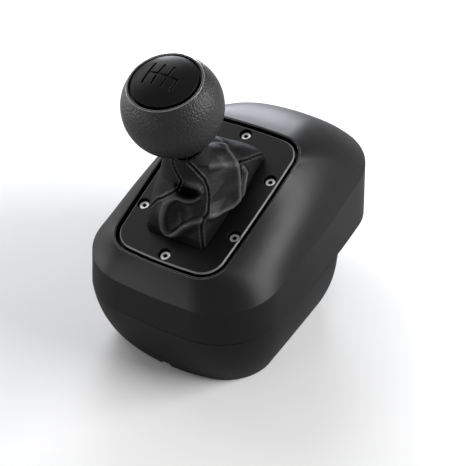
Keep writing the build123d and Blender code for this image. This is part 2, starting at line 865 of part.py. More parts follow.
# Knob: ball, ring, cap with the shift pattern, insert
knob_plane = crosswise(0, 0, knob_height)
knob_axis = Axis(knob_plane.origin, knob_plane.y_dir)
seat_height = knob_height + ring_height - cap_seat_depth
dome_radius = (cap_radius**2 + cap_rise**2) / (2 * cap_rise)

with BuildPart() as knob_ball:
    with Locations(level(0, 0, knob_height)):
        Sphere(knob_radius)
    extrude(disc(level(0, 0, throat_top), knob_throat), amount=-2 * knob_throat_depth, mode=Mode.SUBTRACT)
    extrude(disc(level(0, 0, throat_top), knob_insert_radius), amount=knob_insert_length,
            mode=Mode.SUBTRACT)
    extrude(disc(level(0, 0, seat_height), cap_ring_radius), amount=knob_radius, mode=Mode.SUBTRACT)
finish(knob_ball, "knob_ball")

with BuildPart() as knob_ring:
    extrude(ring(level(0, 0, seat_height), cap_ring_radius, cap_ring_radius - cap_ring_width),
            amount=cap_seat_depth + cap_ring_rise)
    fillet(knob_ring.edges().sort_by(Axis(pivot, bezel_plane.z_dir))[-2:], cap_ring_width / 3)
finish(knob_ring, "knob_ring")


def cap_profile(drop):
    """Half section of the domed cap, with its dome lowered by drop."""
    floor = seat_height - knob_height
    edge = ring_height + cap_edge_height - drop
    with BuildSketch(knob_plane) as shape:
        with BuildLine():
            Polyline((0, edge + cap_rise), (0, floor), (cap_radius, floor), (cap_radius, edge))
            RadiusArc((cap_radius, edge), (0, edge + cap_rise), -dome_radius)
        make_face()
    return shape.sketch


with BuildPart() as knob_cap:
    revolve(cap_profile(0), axis=knob_axis)
    with BuildSketch(level(0, 0, knob_height + knob_radius)):
        Rectangle(3 * pattern_step + pattern_width, pattern_width)
        for column in range(4):
            spread = (column - 1.5) * pattern_step
            ends = (-1,) if column == 3 else (-1, 1)
            for end in ends:
                with Locations((spread, end * pattern_reach / 2)):
                    Rectangle(pattern_width, pattern_reach)
    extrude(amount=-knob_radius + ring_height - cap_seat_depth / 2, mode=Mode.SUBTRACT)
    revolve(cap_profile(pattern_depth), axis=knob_axis)
finish(knob_cap, "knob_cap")

with BuildPart() as knob_insert:
    extrude(disc(level(0, 0, throat_top), knob_insert_radius), amount=knob_insert_length)
    extrude(disc(level(0, 0, throat_top), spring_seat_radius), amount=-spring_seat_height)
    rod_hole = knob_insert_length + spring_seat_height - rod_top_inset
    extrude(disc(level(0, 0, throat_top - spring_seat_height), rod_radius), amount=rod_hole,
            mode=Mode.SUBTRACT)
finish(knob_insert, "knob_insert")

with BuildPart() as push_spring:
    spring_length = throat_top - spring_seat_height - tube_top - 2 * run_gap
    extrude(ring(level(0, 0, tube_top + run_gap), push_spring_radius, push_spring_radius - push_spring_wall),
            amount=spring_length)
finish(push_spring, "push_spring")

# Rod with its gate pin and stop collar, tube and hub
with BuildPart() as lever_rod:
    rod_length = rod_tail + throat_top - spring_seat_height + rod_hole
    extrude(disc(level(0, 0, -rod_tail), rod_radius), amount=rod_length)
    extrude(disc(level(0, 0, -rod_tail), gate_pin_radius), amount=gate_pin_grip, mode=Mode.SUBTRACT)
finish(lever_rod, "lever_rod")

with BuildPart() as gate_pin:
    extrude(disc(level(0, 0, -gate_pin_tail), gate_pin_radius), amount=gate_pin_tail - rod_tail + gate_pin_grip)
    fillet(gate_pin.edges().sort_by(Axis(pivot, bezel_plane.z_dir))[0], gate_pin_radius / 2)
finish(gate_pin, "gate_pin")

with BuildPart() as push_collar:
    extrude(disc(level(0, 0, collar_bottom), collar_radius), amount=collar_height)
    extrude(slab(level(finger_reach / 2, 0, collar_bottom), finger_reach / 2, finger_width / 2),
            amount=collar_height)
    extrude(disc(level(0, 0, collar_bottom), rod_radius), amount=collar_height, mode=Mode.SUBTRACT)
finish(push_collar, "push_collar")

with BuildPart() as lever_tube:
    tube_bottom = hub_top - tube_seat_depth
    extrude(ring(level(0, 0, tube_bottom), tube_radius, rod_radius + run_gap), amount=tube_top - tube_bottom)
finish(lever_tube, "lever_tube")

with BuildPart() as lever_hub:
    extrude(ring(level(0, 0, -hub_bottom), hub_radius, rod_radius + run_gap), amount=hub_bottom + hub_top)
    extrude(disc(level(0, 0, tube_bottom), tube_radius), amount=tube_seat_depth, mode=Mode.SUBTRACT)
    for end in (-1, 1):
        extrude(disc(lengthwise(0, end * pin_inner_end, 0), pin_radius), amount=end * hub_radius,
                mode=Mode.SUBTRACT)
finish(lever_hub, "lever_hub")

with BuildPart() as side_pivot_pins:
    extrude(disc(lengthwise(0, -pin_inner_end, 0), pin_radius), amount=pin_inner_end - pin_near_end)
    extrude(disc(lengthwise(0, pin_inner_end, 0), pin_radius), amount=pin_far_end - pin_inner_end)
finish(side_pivot_pins, "side_pivot_pins")

# Reverse switch on its bracket under the hub
bracket_top = -bracket_arm_drop
switch_middle = switch_near_side + switch_width / 2
with BuildPart() as switch_bracket:
    arm_middle = (bracket_side + bracket_thickness) / 2
    extrude(slab(level(arm_middle, 0, -hub_bottom), arm_middle, switch_half_length),
            amount=hub_bottom + bracket_top)
    extrude(disc(level(0, 0, -hub_bottom), hub_radius), amount=hub_bottom + bracket_top, mode=Mode.SUBTRACT)
    extrude(slab(level(bracket_side + bracket_thickness / 2, 0, switch_bottom), bracket_thickness / 2,
                 switch_half_length), amount=bracket_top - switch_bottom)
finish(switch_bracket, "switch_bracket")

with BuildPart() as reverse_switch:
    extrude(slab(level(switch_middle, 0, switch_bottom), switch_width / 2, switch_half_length),
            amount=switch_height)
    extrude(slab(level(switch_middle, 0, switch_top), switch_plunger_half + run_gap,
                 switch_plunger_half + run_gap), amount=-switch_height / 2, mode=Mode.SUBTRACT)
    for end in (-1, 1):
        leg = level(switch_middle, end * switch_half_length / 2, switch_bottom)
        extrude(slab(leg, switch_plunger_half, switch_rest), amount=-switch_plunger_half)
finish(reverse_switch, "reverse_switch")

with BuildPart() as switch_plunger:
    plunger_top = switch_pressed_top + switch_stroke
    plunger_bottom = switch_top - switch_height / 2 + switch_stroke + run_gap
    extrude(slab(level(switch_middle, 0, plunger_bottom), switch_plunger_half, switch_plunger_half),
            amount=plunger_top - plunger_bottom)
finish(switch_plunger, "switch_plunger")

# Yoke, its shafts and bushes
with BuildPart() as yoke:
    with BuildSketch(level(0, 0, -yoke_half_height)):
        RectangleRounded(2 * yoke_outer_half, 2 * yoke_outer_reach, yoke_corner)
        Rectangle(2 * yoke_inner_half, 2 * yoke_inner_reach, mode=Mode.SUBTRACT)
    extrude(amount=2 * yoke_half_height)
    for side in (-1, 1):
        middle = side * (yoke_inner_half + yoke_outer_half) / 2
        extrude(slab(level(middle, 0, 0), (yoke_outer_half - yoke_inner_half) / 2, yoke_post_half),
                amount=yoke_post_top)
        extrude(disc(crosswise(side * yoke_inner_half, 0, 0), shaft_radius),
                amount=side * (yoke_outer_half - yoke_inner_half), mode=Mode.SUBTRACT)
        extrude(disc(lengthwise(0, side * yoke_inner_reach, 0), pin_radius + bush_wall),
                amount=side * (yoke_outer_reach - yoke_inner_reach), mode=Mode.SUBTRACT)
finish(yoke, "yoke")

with BuildPart() as side_bushes:
    for side in (-1, 1):
        extrude(ring(lengthwise(0, side * yoke_inner_reach, 0), pin_radius + bush_wall, pin_radius + run_gap),
                amount=side * (yoke_outer_reach - yoke_inner_reach))
finish(side_bushes, "side_bushes")

with BuildPart() as fore_aft_shafts:
    extrude(disc(crosswise(yoke_inner_half, 0, 0), shaft_radius), amount=shaft_right_end - yoke_inner_half)
    extrude(disc(crosswise(-yoke_inner_half, 0, 0), shaft_radius), amount=yoke_inner_half - shaft_left_end)
finish(fore_aft_shafts, "fore_aft_shafts")

with BuildPart() as fore_aft_bushes:
    for side in (-1, 1):
        extrude(ring(crosswise(side * plate_inside, 0, 0), shaft_radius + bush_wall, shaft_radius + run_gap),
                amount=side * plate_thickness)
finish(fore_aft_bushes, "fore_aft_bushes")

with BuildPart() as centring_springs:
    for side in (-1, 1):
        start = crosswise(side * (tube_radius + soft_gap), 0, centring_height)
        extrude(ring(start, centring_radius, centring_radius - centring_wall),
                amount=side * (yoke_inner_half - tube_radius - soft_gap - run_gap))
finish(centring_springs, "centring_springs")

# Side plates, spacer and gate plate
plate_far_low = pivot.Y + plate_far_foot
plate_far_middle = pivot.Y + plate_bulge
plate_outline = (
    (pivot.Y - plate_near_foot, frame_seat),
    (plate_far_low, frame_seat),
    (plate_far_middle, frame_seat + plate_bulge_rise),
    (plate_far_middle, pivot.Z - plate_bulge_drop),
    (pivot.Y + plate_top_half, pivot.Z + plate_top_half),
    (pivot.Y - plate_top_half, pivot.Z + plate_top_half),
)
for side, plate_name in ((-1, "side_plate_left"), (1, "side_plate_right")):
    with BuildPart() as side_plate:
        with BuildSketch(Plane.YZ.offset(side * plate_inside)) as plate_shape:
            with BuildLine():
                Polyline(*plate_outline, close=True)
            make_face()
            fillet(plate_shape.vertices().group_by(Axis.Y)[-1], plate_top_corner)
        extrude(amount=side * plate_thickness)
        flange_middle = side * (plate_inside + (plate_thickness + flange_width) / 2)
        with Locations((flange_middle, pivot.Y + (flange_far - flange_near) / 2, frame_seat)):
            Box(plate_thickness + flange_width, flange_near + flange_far, plate_thickness, align=on_base)
        for place in frame_screw_places:
            with Locations((place[0], place[1], frame_seat)):
                Cylinder(screw_radius + run_gap, plate_thickness, align=on_base, mode=Mode.SUBTRACT)
        extrude(disc(crosswise(side * plate_inside, 0, 0), shaft_radius + bush_wall),
                amount=side * plate_thickness, mode=Mode.SUBTRACT)
        tab_start = level(side * (plate_inside + plate_thickness / 2), 0, -gate_depth - gate_thickness / 2)
        extrude(slab(tab_start, plate_thickness, gate_tab_half + run_gap), amount=gate_thickness,
                mode=Mode.SUBTRACT)
        with Locations(Plane.YZ.offset(side * plate_inside)):
            with Locations((pivot.Y - spacer_back, pivot.Z - spacer_drop)):
                Hole(screw_radius + run_gap)
    finish(side_plate, plate_name)

with BuildPart() as frame_spacer:
    with BuildSketch(Plane.YZ.offset(-plate_inside)):
        with Locations((pivot.Y - spacer_back, pivot.Z - spacer_drop)):
            Circle(spacer_radius)
    extrude(amount=2 * plate_inside)
    with BuildSketch(Plane.YZ.offset(-plate_inside - plate_thickness)):
        with Locations((pivot.Y - spacer_back, pivot.Z - spacer_drop)):
            Circle(screw_radius)
    extrude(amount=2 * (plate_inside + plate_thickness))
finish(frame_spacer, "frame_spacer")

with BuildPart() as gate_plate:
    gate_bottom = level(0, 0, -gate_depth - gate_thickness / 2)
    extrude(slab(gate_bottom, plate_inside, gate_half_length), amount=gate_thickness)
    extrude(slab(gate_bottom, plate_inside + plate_thickness, gate_tab_half), amount=gate_thickness)
    with BuildSketch(gate_bottom):
        SlotCenterToCenter(2 * gate_pitch, gate_slot_width)
        for column in (-1, 0, 1):
            with Locations((column * gate_pitch, 0)):
                SlotCenterToCenter(2 * gate_reach, gate_slot_width, rotation=90)
    extrude(amount=gate_thickness, mode=Mode.SUBTRACT)
finish(gate_plate, "gate_plate")

with BuildPart() as frame_screws:
    for place in frame_screw_places:
        with Locations((place[0], place[1], frame_seat + plate_thickness)):
            Cylinder(screw_head_radius, screw_head_height, align=on_base)
        with Locations((place[0], place[1], frame_seat - frame_screw_depth + run_gap)):
            Cylinder(screw_radius, frame_screw_depth + plate_thickness - run_gap, align=on_base)
finish(frame_screws, "frame_screws")

# Detent sector on the yoke, with its housing, plunger and spring
with BuildPart() as detent_sector:
    sector_plane = crosswise(-sector_inner, 0, 0)
    with BuildSketch(sector_plane):
        Circle(sector_radius)
        with BuildLine():
            swing = sector_half_angle
            edge = 2 * sector_radius
            Polyline((0, 0), (-edge * sin(radians(swing)), -edge * cos(radians(swing))),
                     (-edge, edge), (edge, edge),
                     (edge * sin(radians(swing)), -edge * cos(radians(swing))), close=True)
        make_face(mode=Mode.SUBTRACT)
        Circle(sector_hub_radius)
        for step in (-1, 0, 1):
            turn = radians(step * stroke_angle)
            reach = sector_radius + notch_radius - notch_bite
            with Locations((reach * sin(turn), -reach * cos(turn))):
                Circle(notch_radius, mode=Mode.SUBTRACT)
        Circle(shaft_radius, mode=Mode.SUBTRACT)
    extrude(amount=-sector_thickness)
finish(detent_sector, "detent_sector")

sector_middle = -sector_inner - sector_thickness / 2
with BuildPart() as detent_housing:
    block_half = plate_inside + sector_middle
    extrude(slab(level(sector_middle, 0, -detent_top - detent_length), block_half, detent_half),
            amount=detent_length)
    bore = level(sector_middle, 0, -detent_top)
    bore_depth = detent_length - detent_plunger_radius
    extrude(disc(bore, detent_plunger_radius + run_gap), amount=-bore_depth, mode=Mode.SUBTRACT)
finish(detent_housing, "detent_housing")

with BuildPart() as detent_plunger:
    tip = -sector_radius - detent_gap
    extrude(disc(level(sector_middle, 0, tip - detent_plunger_length), detent_plunger_radius),
            amount=detent_plunger_length)
    fillet(detent_plunger.edges().sort_by(Axis(pivot, bezel_plane.z_dir))[-1],
           detent_plunger_radius - run_gap)
finish(detent_plunger, "detent_plunger")

with BuildPart() as detent_spring:
    spring_floor = -detent_top - bore_depth + run_gap
    spring_top = tip - detent_plunger_length - run_gap
    spring_outer = detent_plunger_radius - run_gap
    extrude(ring(level(sector_middle, 0, spring_floor), spring_outer, spring_outer - detent_spring_wall),
            amount=spring_top - spring_floor)
finish(detent_spring, "detent_spring")

# Angle sensors with hollow rotors
with BuildPart() as fore_aft_sensor:
    sensor_start = plate_inside + plate_thickness
    rotor_outer = shaft_radius + rotor_wall
    extrude(slab(crosswise(sensor_start, 0, 0), sensor_half, sensor_half), amount=sensor_thickness)
    extrude(disc(crosswise(sensor_start, 0, 0), rotor_outer + rotor_gap), amount=sensor_thickness,
            mode=Mode.SUBTRACT)
finish(fore_aft_sensor, "fore_aft_sensor")

with BuildPart() as fore_aft_rotor:
    extrude(ring(crosswise(sensor_start + soft_gap, 0, 0), rotor_outer, shaft_radius), amount=rotor_length)
finish(fore_aft_rotor, "fore_aft_rotor")

with BuildPart() as side_sensor:
    side_rotor_outer = pin_radius + rotor_wall
    extrude(slab(lengthwise(0, yoke_outer_reach, 0), side_sensor_half, side_sensor_half),
            amount=sensor_thickness)
    extrude(disc(lengthwise(0, yoke_outer_reach, 0), side_rotor_outer + rotor_gap),
            amount=sensor_thickness, mode=Mode.SUBTRACT)
finish(side_sensor, "side_sensor")

with BuildPart() as side_rotor:
    extrude(ring(lengthwise(0, yoke_outer_reach + soft_gap, 0), side_rotor_outer, pin_radius),
            amount=rotor_length)
finish(side_rotor, "side_rotor")

# Circuit board and cable gland
board_top = board_height + board_thickness
with BuildPart() as circuit_board:
    with Locations((0, board_middle, board_height)):
        Box(2 * board_half_width, 2 * board_half_length, board_thickness, align=on_base)
    for place in board_screw_places:
        with Locations(place):
            Cylinder(board_screw_radius + run_gap, board_thickness, align=on_base, mode=Mode.SUBTRACT)
finish(circuit_board, "circuit_board")

with BuildPart() as board_components:
    with Locations((0, board_middle, board_top)):
        Box(2 * chip_half, 2 * chip_half, chip_height, align=on_base)
    with Locations((0, board_middle + board_half_length - socket_inset, board_top)):
        Box(2 * socket_half_width, 2 * socket_half_length, socket_height, align=on_base)
    for side in (-1, 1):
        with Locations((side * capacitor_place, board_middle, board_top)):
            Cylinder(capacitor_radius, capacitor_height, align=on_base)
finish(board_components, "board_components")

with BuildPart() as board_screws:
    for place in board_screw_places:
        with Locations((place[0], place[1], board_top)):
            Cylinder(board_screw_head, board_screw_head_height, align=on_base)
        with Locations((place[0], place[1], board_height - board_screw_depth + run_gap)):
            Cylinder(board_screw_radius, board_screw_depth + board_thickness - run_gap, align=on_base)
finish(board_screws, "board_screws")

with BuildPart() as cable_gland:
    extrude(disc(gland_plane, gland_radius), amount=-shell_wall)
    extrude(disc(gland_plane, gland_flange), amount=gland_flange_height)
    extrude(disc(gland_plane.offset(-shell_wall), gland_flange), amount=-gland_flange_height)
    extrude(disc(gland_plane.offset(gland_flange_height), gland_nose_radius), amount=gland_nose)
    extrude(disc(gland_plane.offset(gland_flange_height + gland_nose), gland_bore),
            amount=-gland_nose - 2 * gland_flange_height - shell_wall, mode=Mode.SUBTRACT)
finish(cable_gland, "cable_gland")

# Table clamps: bridge over the screws, then each side's screw, knob, jaw and pad
with BuildPart() as clamp_bridge:
    with Locations((0, clamp_place, bridge_bottom)):
        Box(2 * (bridge_spread + bridge_post_radius), 2 * bridge_half_width, bridge_height, align=on_base)
    for side in (-1, 1):
        with Locations((side * clamp_spread, clamp_place, bridge_bottom)):
            Cylinder(clamp_screw_radius + run_gap, bridge_height, align=on_base, mode=Mode.SUBTRACT)
        with Locations((side * bridge_spread, clamp_place, bridge_bottom)):
            Cylinder(bridge_screw_radius + run_gap, bridge_height, align=on_base, mode=Mode.SUBTRACT)
finish(clamp_bridge, "clamp_bridge")

with BuildPart() as bridge_screws:
    for side in (-1, 1):
        with Locations((side * bridge_spread, clamp_place, bridge_bottom + bridge_height)):
            Cylinder(bridge_screw_head, bridge_screw_head_height, align=on_base)
        with Locations((side * bridge_spread, clamp_place, bridge_bottom - bridge_screw_depth + run_gap)):
            Cylinder(bridge_screw_radius, bridge_screw_depth + bridge_height - run_gap, align=on_base)
finish(bridge_screws, "bridge_screws")

knob_top = clamp_knob_lift + clamp_knob_height
leg_front = base_rear + jaw_slot_gap
arm_top = jaw_arm_bottom + jaw_arm_thickness
for side, side_name in ((-1, "_left"), (1, "_right")):
    across = side * clamp_spread
    with BuildPart() as clamp_screw:
        with Locations((across, clamp_place, clamp_knob_lift)):
            Cylinder(clamp_screw_radius, bridge_bottom + bridge_height, align=on_base)
        with Locations((across, clamp_place, pocket_top + run_gap)):
            Cylinder(clamp_collar_radius, clamp_collar_height, align=on_base)
    finish(clamp_screw, "clamp_screw" + side_name)

    with BuildPart() as clamp_knob:
        with Locations((across, clamp_place, clamp_knob_lift)):
            Cylinder(clamp_knob_radius, clamp_knob_height, align=on_base)
            with PolarLocations(clamp_knob_radius, clamp_grips):
                Cylinder(clamp_grip_radius, clamp_knob_height, align=on_base, mode=Mode.SUBTRACT)
        with Locations((across, clamp_place, knob_top)):
            Cylinder(clamp_collar_radius, pocket_ceiling - run_gap - knob_top, align=on_base)
        with Locations((across, clamp_place, clamp_knob_lift)):
            Cylinder(clamp_screw_radius, pocket_ceiling, align=on_base, mode=Mode.SUBTRACT)
    finish(clamp_knob, "clamp_knob" + side_name)

    with BuildPart() as clamp_jaw:
        with Locations((across, clamp_place, nut_bottom)):
            Box(2 * nut_half, 2 * nut_half, nut_height, align=on_base)
        with Locations((across, leg_front + jaw_leg, jaw_web_bottom)):
            Box(2 * jaw_web_half, leg_front + jaw_leg - clamp_place - nut_half / 2, jaw_web_height,
                align=behind_base)
        with Locations((across, leg_front + jaw_leg, jaw_arm_bottom)):
            Box(2 * jaw_arm_half, jaw_leg, jaw_web_bottom + jaw_web_height - jaw_arm_bottom,
                align=behind_base)
        with Locations((across, leg_front + jaw_leg + jaw_arm_length, jaw_arm_bottom)):
            Box(2 * jaw_arm_half, jaw_arm_length, jaw_arm_thickness, align=behind_base)
        with Locations((across, clamp_place, jaw_web_bottom)):
            Cylinder(clamp_screw_radius + run_gap, nut_bottom + nut_height, align=on_base, mode=Mode.SUBTRACT)
            Cylinder(clamp_collar_radius + jaw_slot_gap, nut_bottom - jaw_web_bottom, align=on_base,
                     mode=Mode.SUBTRACT)
    finish(clamp_jaw, "clamp_jaw" + side_name)

    with BuildPart() as jaw_pad:
        with Locations((across, leg_front + jaw_leg + jaw_arm_length - jaw_pad_inset, arm_top)):
            Box(2 * (jaw_arm_half - jaw_pad_inset), jaw_arm_length - 2 * jaw_pad_inset, jaw_pad_thickness,
                align=behind_base)
    finish(jaw_pad, "jaw_pad" + side_name)
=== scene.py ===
"""Looks of a desktop racing gear shifter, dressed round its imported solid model.

The solid model is the fixed frame. This script gives every solid its finish, replaces the boot and
the springs with modelled pieces, and sets up the studio.
"""

from __future__ import annotations

import json
import logging
import math
from collections.abc import Mapping, Sequence
from dataclasses import dataclass, field
from enum import Enum
from typing import Any, Protocol

import bmesh
import bpy
import numpy as np
from mathutils import Euler, Matrix, Vector

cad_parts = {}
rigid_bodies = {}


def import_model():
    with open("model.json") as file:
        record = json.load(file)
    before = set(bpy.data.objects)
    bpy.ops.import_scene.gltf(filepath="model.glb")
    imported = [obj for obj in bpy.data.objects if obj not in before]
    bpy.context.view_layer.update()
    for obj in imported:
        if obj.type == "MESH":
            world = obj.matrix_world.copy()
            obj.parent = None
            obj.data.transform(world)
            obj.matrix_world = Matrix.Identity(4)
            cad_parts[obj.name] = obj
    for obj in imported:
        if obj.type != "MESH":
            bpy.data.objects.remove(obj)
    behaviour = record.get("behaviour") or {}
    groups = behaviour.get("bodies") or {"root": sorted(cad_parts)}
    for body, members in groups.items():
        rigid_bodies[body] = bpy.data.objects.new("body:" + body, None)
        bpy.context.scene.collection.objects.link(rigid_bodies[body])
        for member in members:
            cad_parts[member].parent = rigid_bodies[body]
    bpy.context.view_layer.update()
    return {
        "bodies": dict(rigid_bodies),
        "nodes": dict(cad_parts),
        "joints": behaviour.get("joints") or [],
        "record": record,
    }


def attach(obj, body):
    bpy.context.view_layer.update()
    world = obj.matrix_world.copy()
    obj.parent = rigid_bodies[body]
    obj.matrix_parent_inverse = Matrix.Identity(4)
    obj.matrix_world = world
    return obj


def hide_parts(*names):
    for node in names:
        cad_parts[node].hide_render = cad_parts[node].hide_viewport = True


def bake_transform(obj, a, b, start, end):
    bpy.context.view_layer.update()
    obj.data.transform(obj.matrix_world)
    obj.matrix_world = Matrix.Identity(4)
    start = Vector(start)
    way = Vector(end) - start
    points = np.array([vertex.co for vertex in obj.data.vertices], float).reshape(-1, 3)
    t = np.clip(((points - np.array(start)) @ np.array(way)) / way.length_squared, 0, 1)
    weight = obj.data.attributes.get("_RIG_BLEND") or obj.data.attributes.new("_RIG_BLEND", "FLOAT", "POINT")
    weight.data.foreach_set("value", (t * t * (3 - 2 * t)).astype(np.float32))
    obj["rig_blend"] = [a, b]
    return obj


Colour = tuple[float, float, float]
Triple = tuple[float, float, float]
Path = tuple[tuple[float, float], ...]

LOG = logging.getLogger("gear shifter")
MM = 0.001
WHITE = (1.0, 1.0, 1.0, 1.0)
BLACK = (0.0, 0.0, 0.0, 1.0)

# The boot's vertex layers, the plain level of its painted light and the thread's place among its materials
PAINTED_LIGHT_LAYER = "wear"
ORIGIN_LAYER = "origin"
UNPAINTED_LIGHT = 0.5
THREAD_INDEX = 1


class Body(Enum):
    """The rigid bodies that modelled pieces ride on."""

    HOUSING = "housing"
    YOKE = "yoke"
    LEVER = "lever"
    ROD = "rod"


@dataclass(frozen=True)
class LeverAxis:
    """The slanted frame of the lever: across, up the slope and along the lever, from its pivot."""

    pivot: Triple = (0.0, -24.941, 58.477)
    tilt: float = 19.4

    def matrix(self) -> Matrix:
        """Return the turn and shift from the lever's axes to the row frame, in metres."""
        turn = Matrix.Rotation(math.radians(self.tilt), 4, "X")
        return Matrix.Translation(Vector(self.pivot) * MM) @ turn

    def point(self, across: float, slope: float, height: float) -> Vector:
        """Place a point given in millimetres along the lever's own axes.

        Args:
            across: distance to the right of the lever.
            slope: distance up the slope of the bezel.
            height: distance along the lever, from its pivot.

        Returns:
            The point in the row frame, in metres.
        """
        return self.matrix() @ Vector((across * MM, slope * MM, height * MM))

    def up(self) -> Vector:
        """Return the direction along the lever, away from its pivot."""
        return self.matrix().to_3x3() @ Vector((0.0, 0.0, 1.0))


LEVER_AXIS = LeverAxis()


class Signal:
    """A shader socket that takes part in Python expressions."""

    def __init__(self, graph: Graph, socket: bpy.types.NodeSocket) -> None:
        """Wrap one output socket of a graph.

        Args:
            graph: the graph that the socket belongs to.
            socket: the output socket.
        """
        self.graph = graph
        self.socket = socket

    def math(self, operation: str, *others: Signal | float) -> Signal:
        """Add a Math node fed by this signal and the others.

        Args:
            operation: the Math node's operation.
            others: the further values or signals.

        Returns:
            The node's result.
        """
        values = dict(enumerate((self, *others)))
        return self.graph.node("ShaderNodeMath", {"operation": operation}, values)

    def __add__(self, other: Signal | float) -> Signal:
        """Add a signal or a number."""
        return self.math("ADD", other)

    def __mul__(self, other: Signal | float) -> Signal:
        """Multiply by a signal or a number."""
        return self.math("MULTIPLY", other)

    def __sub__(self, other: Signal | float) -> Signal:
        """Subtract a signal or a number."""
        return self.math("SUBTRACT", other)

    def __rsub__(self, other: float) -> Signal:
        """Subtract this signal from a number."""
        return self.math("MULTIPLY_ADD", -1.0, other)

    __radd__ = __add__
    __rmul__ = __mul__

    def ramp(self, *stops: tuple[float, float]) -> Signal:
        """Shape the signal with a ramp.

        Args:
            stops: pairs of place and grey value.

        Returns:
            The ramp's grey value.
        """
        greys = [(place, (grey, grey, grey, 1.0)) for place, grey in stops]
        return self.graph.node("ShaderNodeValToRGB", {"stops": greys}, {0: self})


class Graph:
    """The node graph of one material or world."""

    def __init__(self, owner: bpy.types.Material | bpy.types.World) -> None:
        """Start with an empty graph.

        Args:
            owner: the material or world that the graph belongs to.
        """
        owner.use_nodes = True
        self.owner = owner
        self.tree = owner.node_tree
        self.tree.nodes.clear()

    def node(
        self,
        kind: str,
        settings: Mapping[str, Any] | None = None,
        inputs: Mapping[int | str, Any] | None = None,
        output: int | str = 0,
    ) -> Signal:
        """Add a node of any type.

        Args:
            kind: the node's type.
            settings: attributes of the node, set first, and a ramp's stops.
            inputs: values or signals of its input sockets.
            output: the socket that is returned.

        Returns:
            One output of the new node.
        """
        made = self.tree.nodes.new(kind)
        for key, value in (settings or {}).items():
            if key == "stops":
                elements = made.color_ramp.elements
                while len(elements) < len(value):
                    elements.new(1.0)
                for element, (place, colour) in zip(elements, value, strict=True):
                    element.position = place
                    element.color = colour
            else:
                setattr(made, key, value)
        for key, value in (inputs or {}).items():
            if isinstance(value, Signal):
                self.tree.links.new(value.socket, made.inputs[key])
            else:
                made.inputs[key].default_value = value
        return Signal(self, made.outputs[output])

    def close(self, shader: Signal, kind: str = "ShaderNodeOutputMaterial") -> None:
        """Link a shader to the graph's output.

        Args:
            shader: the shader's socket.
            kind: the output node's type.
        """
        out = self.tree.nodes.new(kind)
        self.tree.links.new(shader.socket, out.inputs["Surface"])

    def coordinates(self, stretch: Triple = (1.0, 1.0, 1.0)) -> Signal:
        """Give the piece's own coordinates, in metres.

        Args:
            stretch: factor along each axis.

        Returns:
            The coordinates.
        """
        place = self.node("ShaderNodeTexCoord", output="Object")
        return self.node("ShaderNodeMapping", inputs={"Vector": place, "Scale": stretch})

    def noise(
        self, scale: float, detail: float = 2.0, stretch: Triple = (1.0, 1.0, 1.0)
    ) -> Signal:
        """Give noise from 0 to 1 on the piece's own coordinates.

        Args:
            scale: bumps to a metre.
            detail: layers of finer noise.
            stretch: factor along each axis.

        Returns:
            The noise.
        """
        inputs = {"Vector": self.coordinates(stretch), "Scale": scale, "Detail": detail}
        return self.node("ShaderNodeTexNoise", inputs=inputs)

    def cells(self, scale: float, feature: str = "F1") -> Signal:
        """Give the distance from the middle of each cell in a field of cells.

        Args:
            scale: cells to a metre.
            feature: the Voronoi node's feature.

        Returns:
            The distance.
        """
        inputs = {"Vector": self.coordinates(), "Scale": scale}
        return self.node("ShaderNodeTexVoronoi", {"feature": feature}, inputs, "Distance")

    def blend(
        self, share: Signal | float, first: Signal | Sequence[float], second: Sequence[float]
    ) -> Signal:
        """Mix two colours.

        Args:
            share: how much of the second colour there is.
            first: the first colour.
            second: the second colour.

        Returns:
            The mixed colour.
        """
        base = first if isinstance(first, Signal) else (*first, 1.0)
        inputs = {0: share, 6: base, 7: (*second, 1.0)}
        return self.node("ShaderNodeMix", {"data_type": "RGBA"}, inputs, 2)

    def dot(self, first: Signal, second: Signal | Vector) -> Signal:
        """Give the dot product of two directions or places.

        Args:
            first: the first vector.
            second: the second vector.

        Returns:
            The product.
        """
        settings = {"operation": "DOT_PRODUCT"}
        return self.node("ShaderNodeVectorMath", settings, {0: first, 1: second}, "Value")

    def bump(
        self, height: Signal, strength: float, depth: float, under: Signal | None = None
    ) -> Signal:
        """Turn a height into a normal.

        Args:
            height: the height, from 0 to 1.
            strength: how strongly it shows.
            depth: the height's full depth, in metres.
            under: the normal that it lies on.

        Returns:
            The normal.
        """
        inputs = {"Height": height, "Strength": strength, "Distance": depth}
        if under is not None:
            inputs["Normal"] = under
        return self.node("ShaderNodeBump", inputs=inputs, output="Normal")

    def rounded(self, radius: float, samples: int = 6) -> Signal:
        """Give the normal of the piece with its hard edges rounded.

        Args:
            radius: the edges' radius, in metres.
            samples: the node's samples.

        Returns:
            The normal.
        """
        return self.node("ShaderNodeBevel", {"samples": samples}, {"Radius": radius})

    def edges(self, rounded: Signal) -> Signal:
        """Find hard edges, where the rounded normal leaves the true one.

        Args:
            rounded: the rounded normal.

        Returns:
            1 at the edges and 0 on flats.
        """
        true = self.node("ShaderNodeNewGeometry", output="True Normal")
        return self.dot(rounded, true).ramp((0.88, 1.0), (0.985, 0.0))

    def chamfers(self) -> Signal:
        """Find faces that slant away from the lever's direction, but not much.

        Returns:
            1 on the slanting faces and 0 on the others.
        """
        normal = self.node("ShaderNodeTexCoord", output="Normal")
        facing = self.dot(normal, LEVER_AXIS.up())
        return facing.ramp((0.25, 0.0), (0.45, 1.0), (0.86, 1.0), (0.96, 0.0))

    def lever_height(self) -> Signal:
        """Give the height along the lever, in millimetres from its pivot."""
        up = LEVER_AXIS.up()
        along = self.dot(self.coordinates(), up)
        return (along - up.dot(Vector(LEVER_AXIS.pivot)) * MM) * (1.0 / MM)

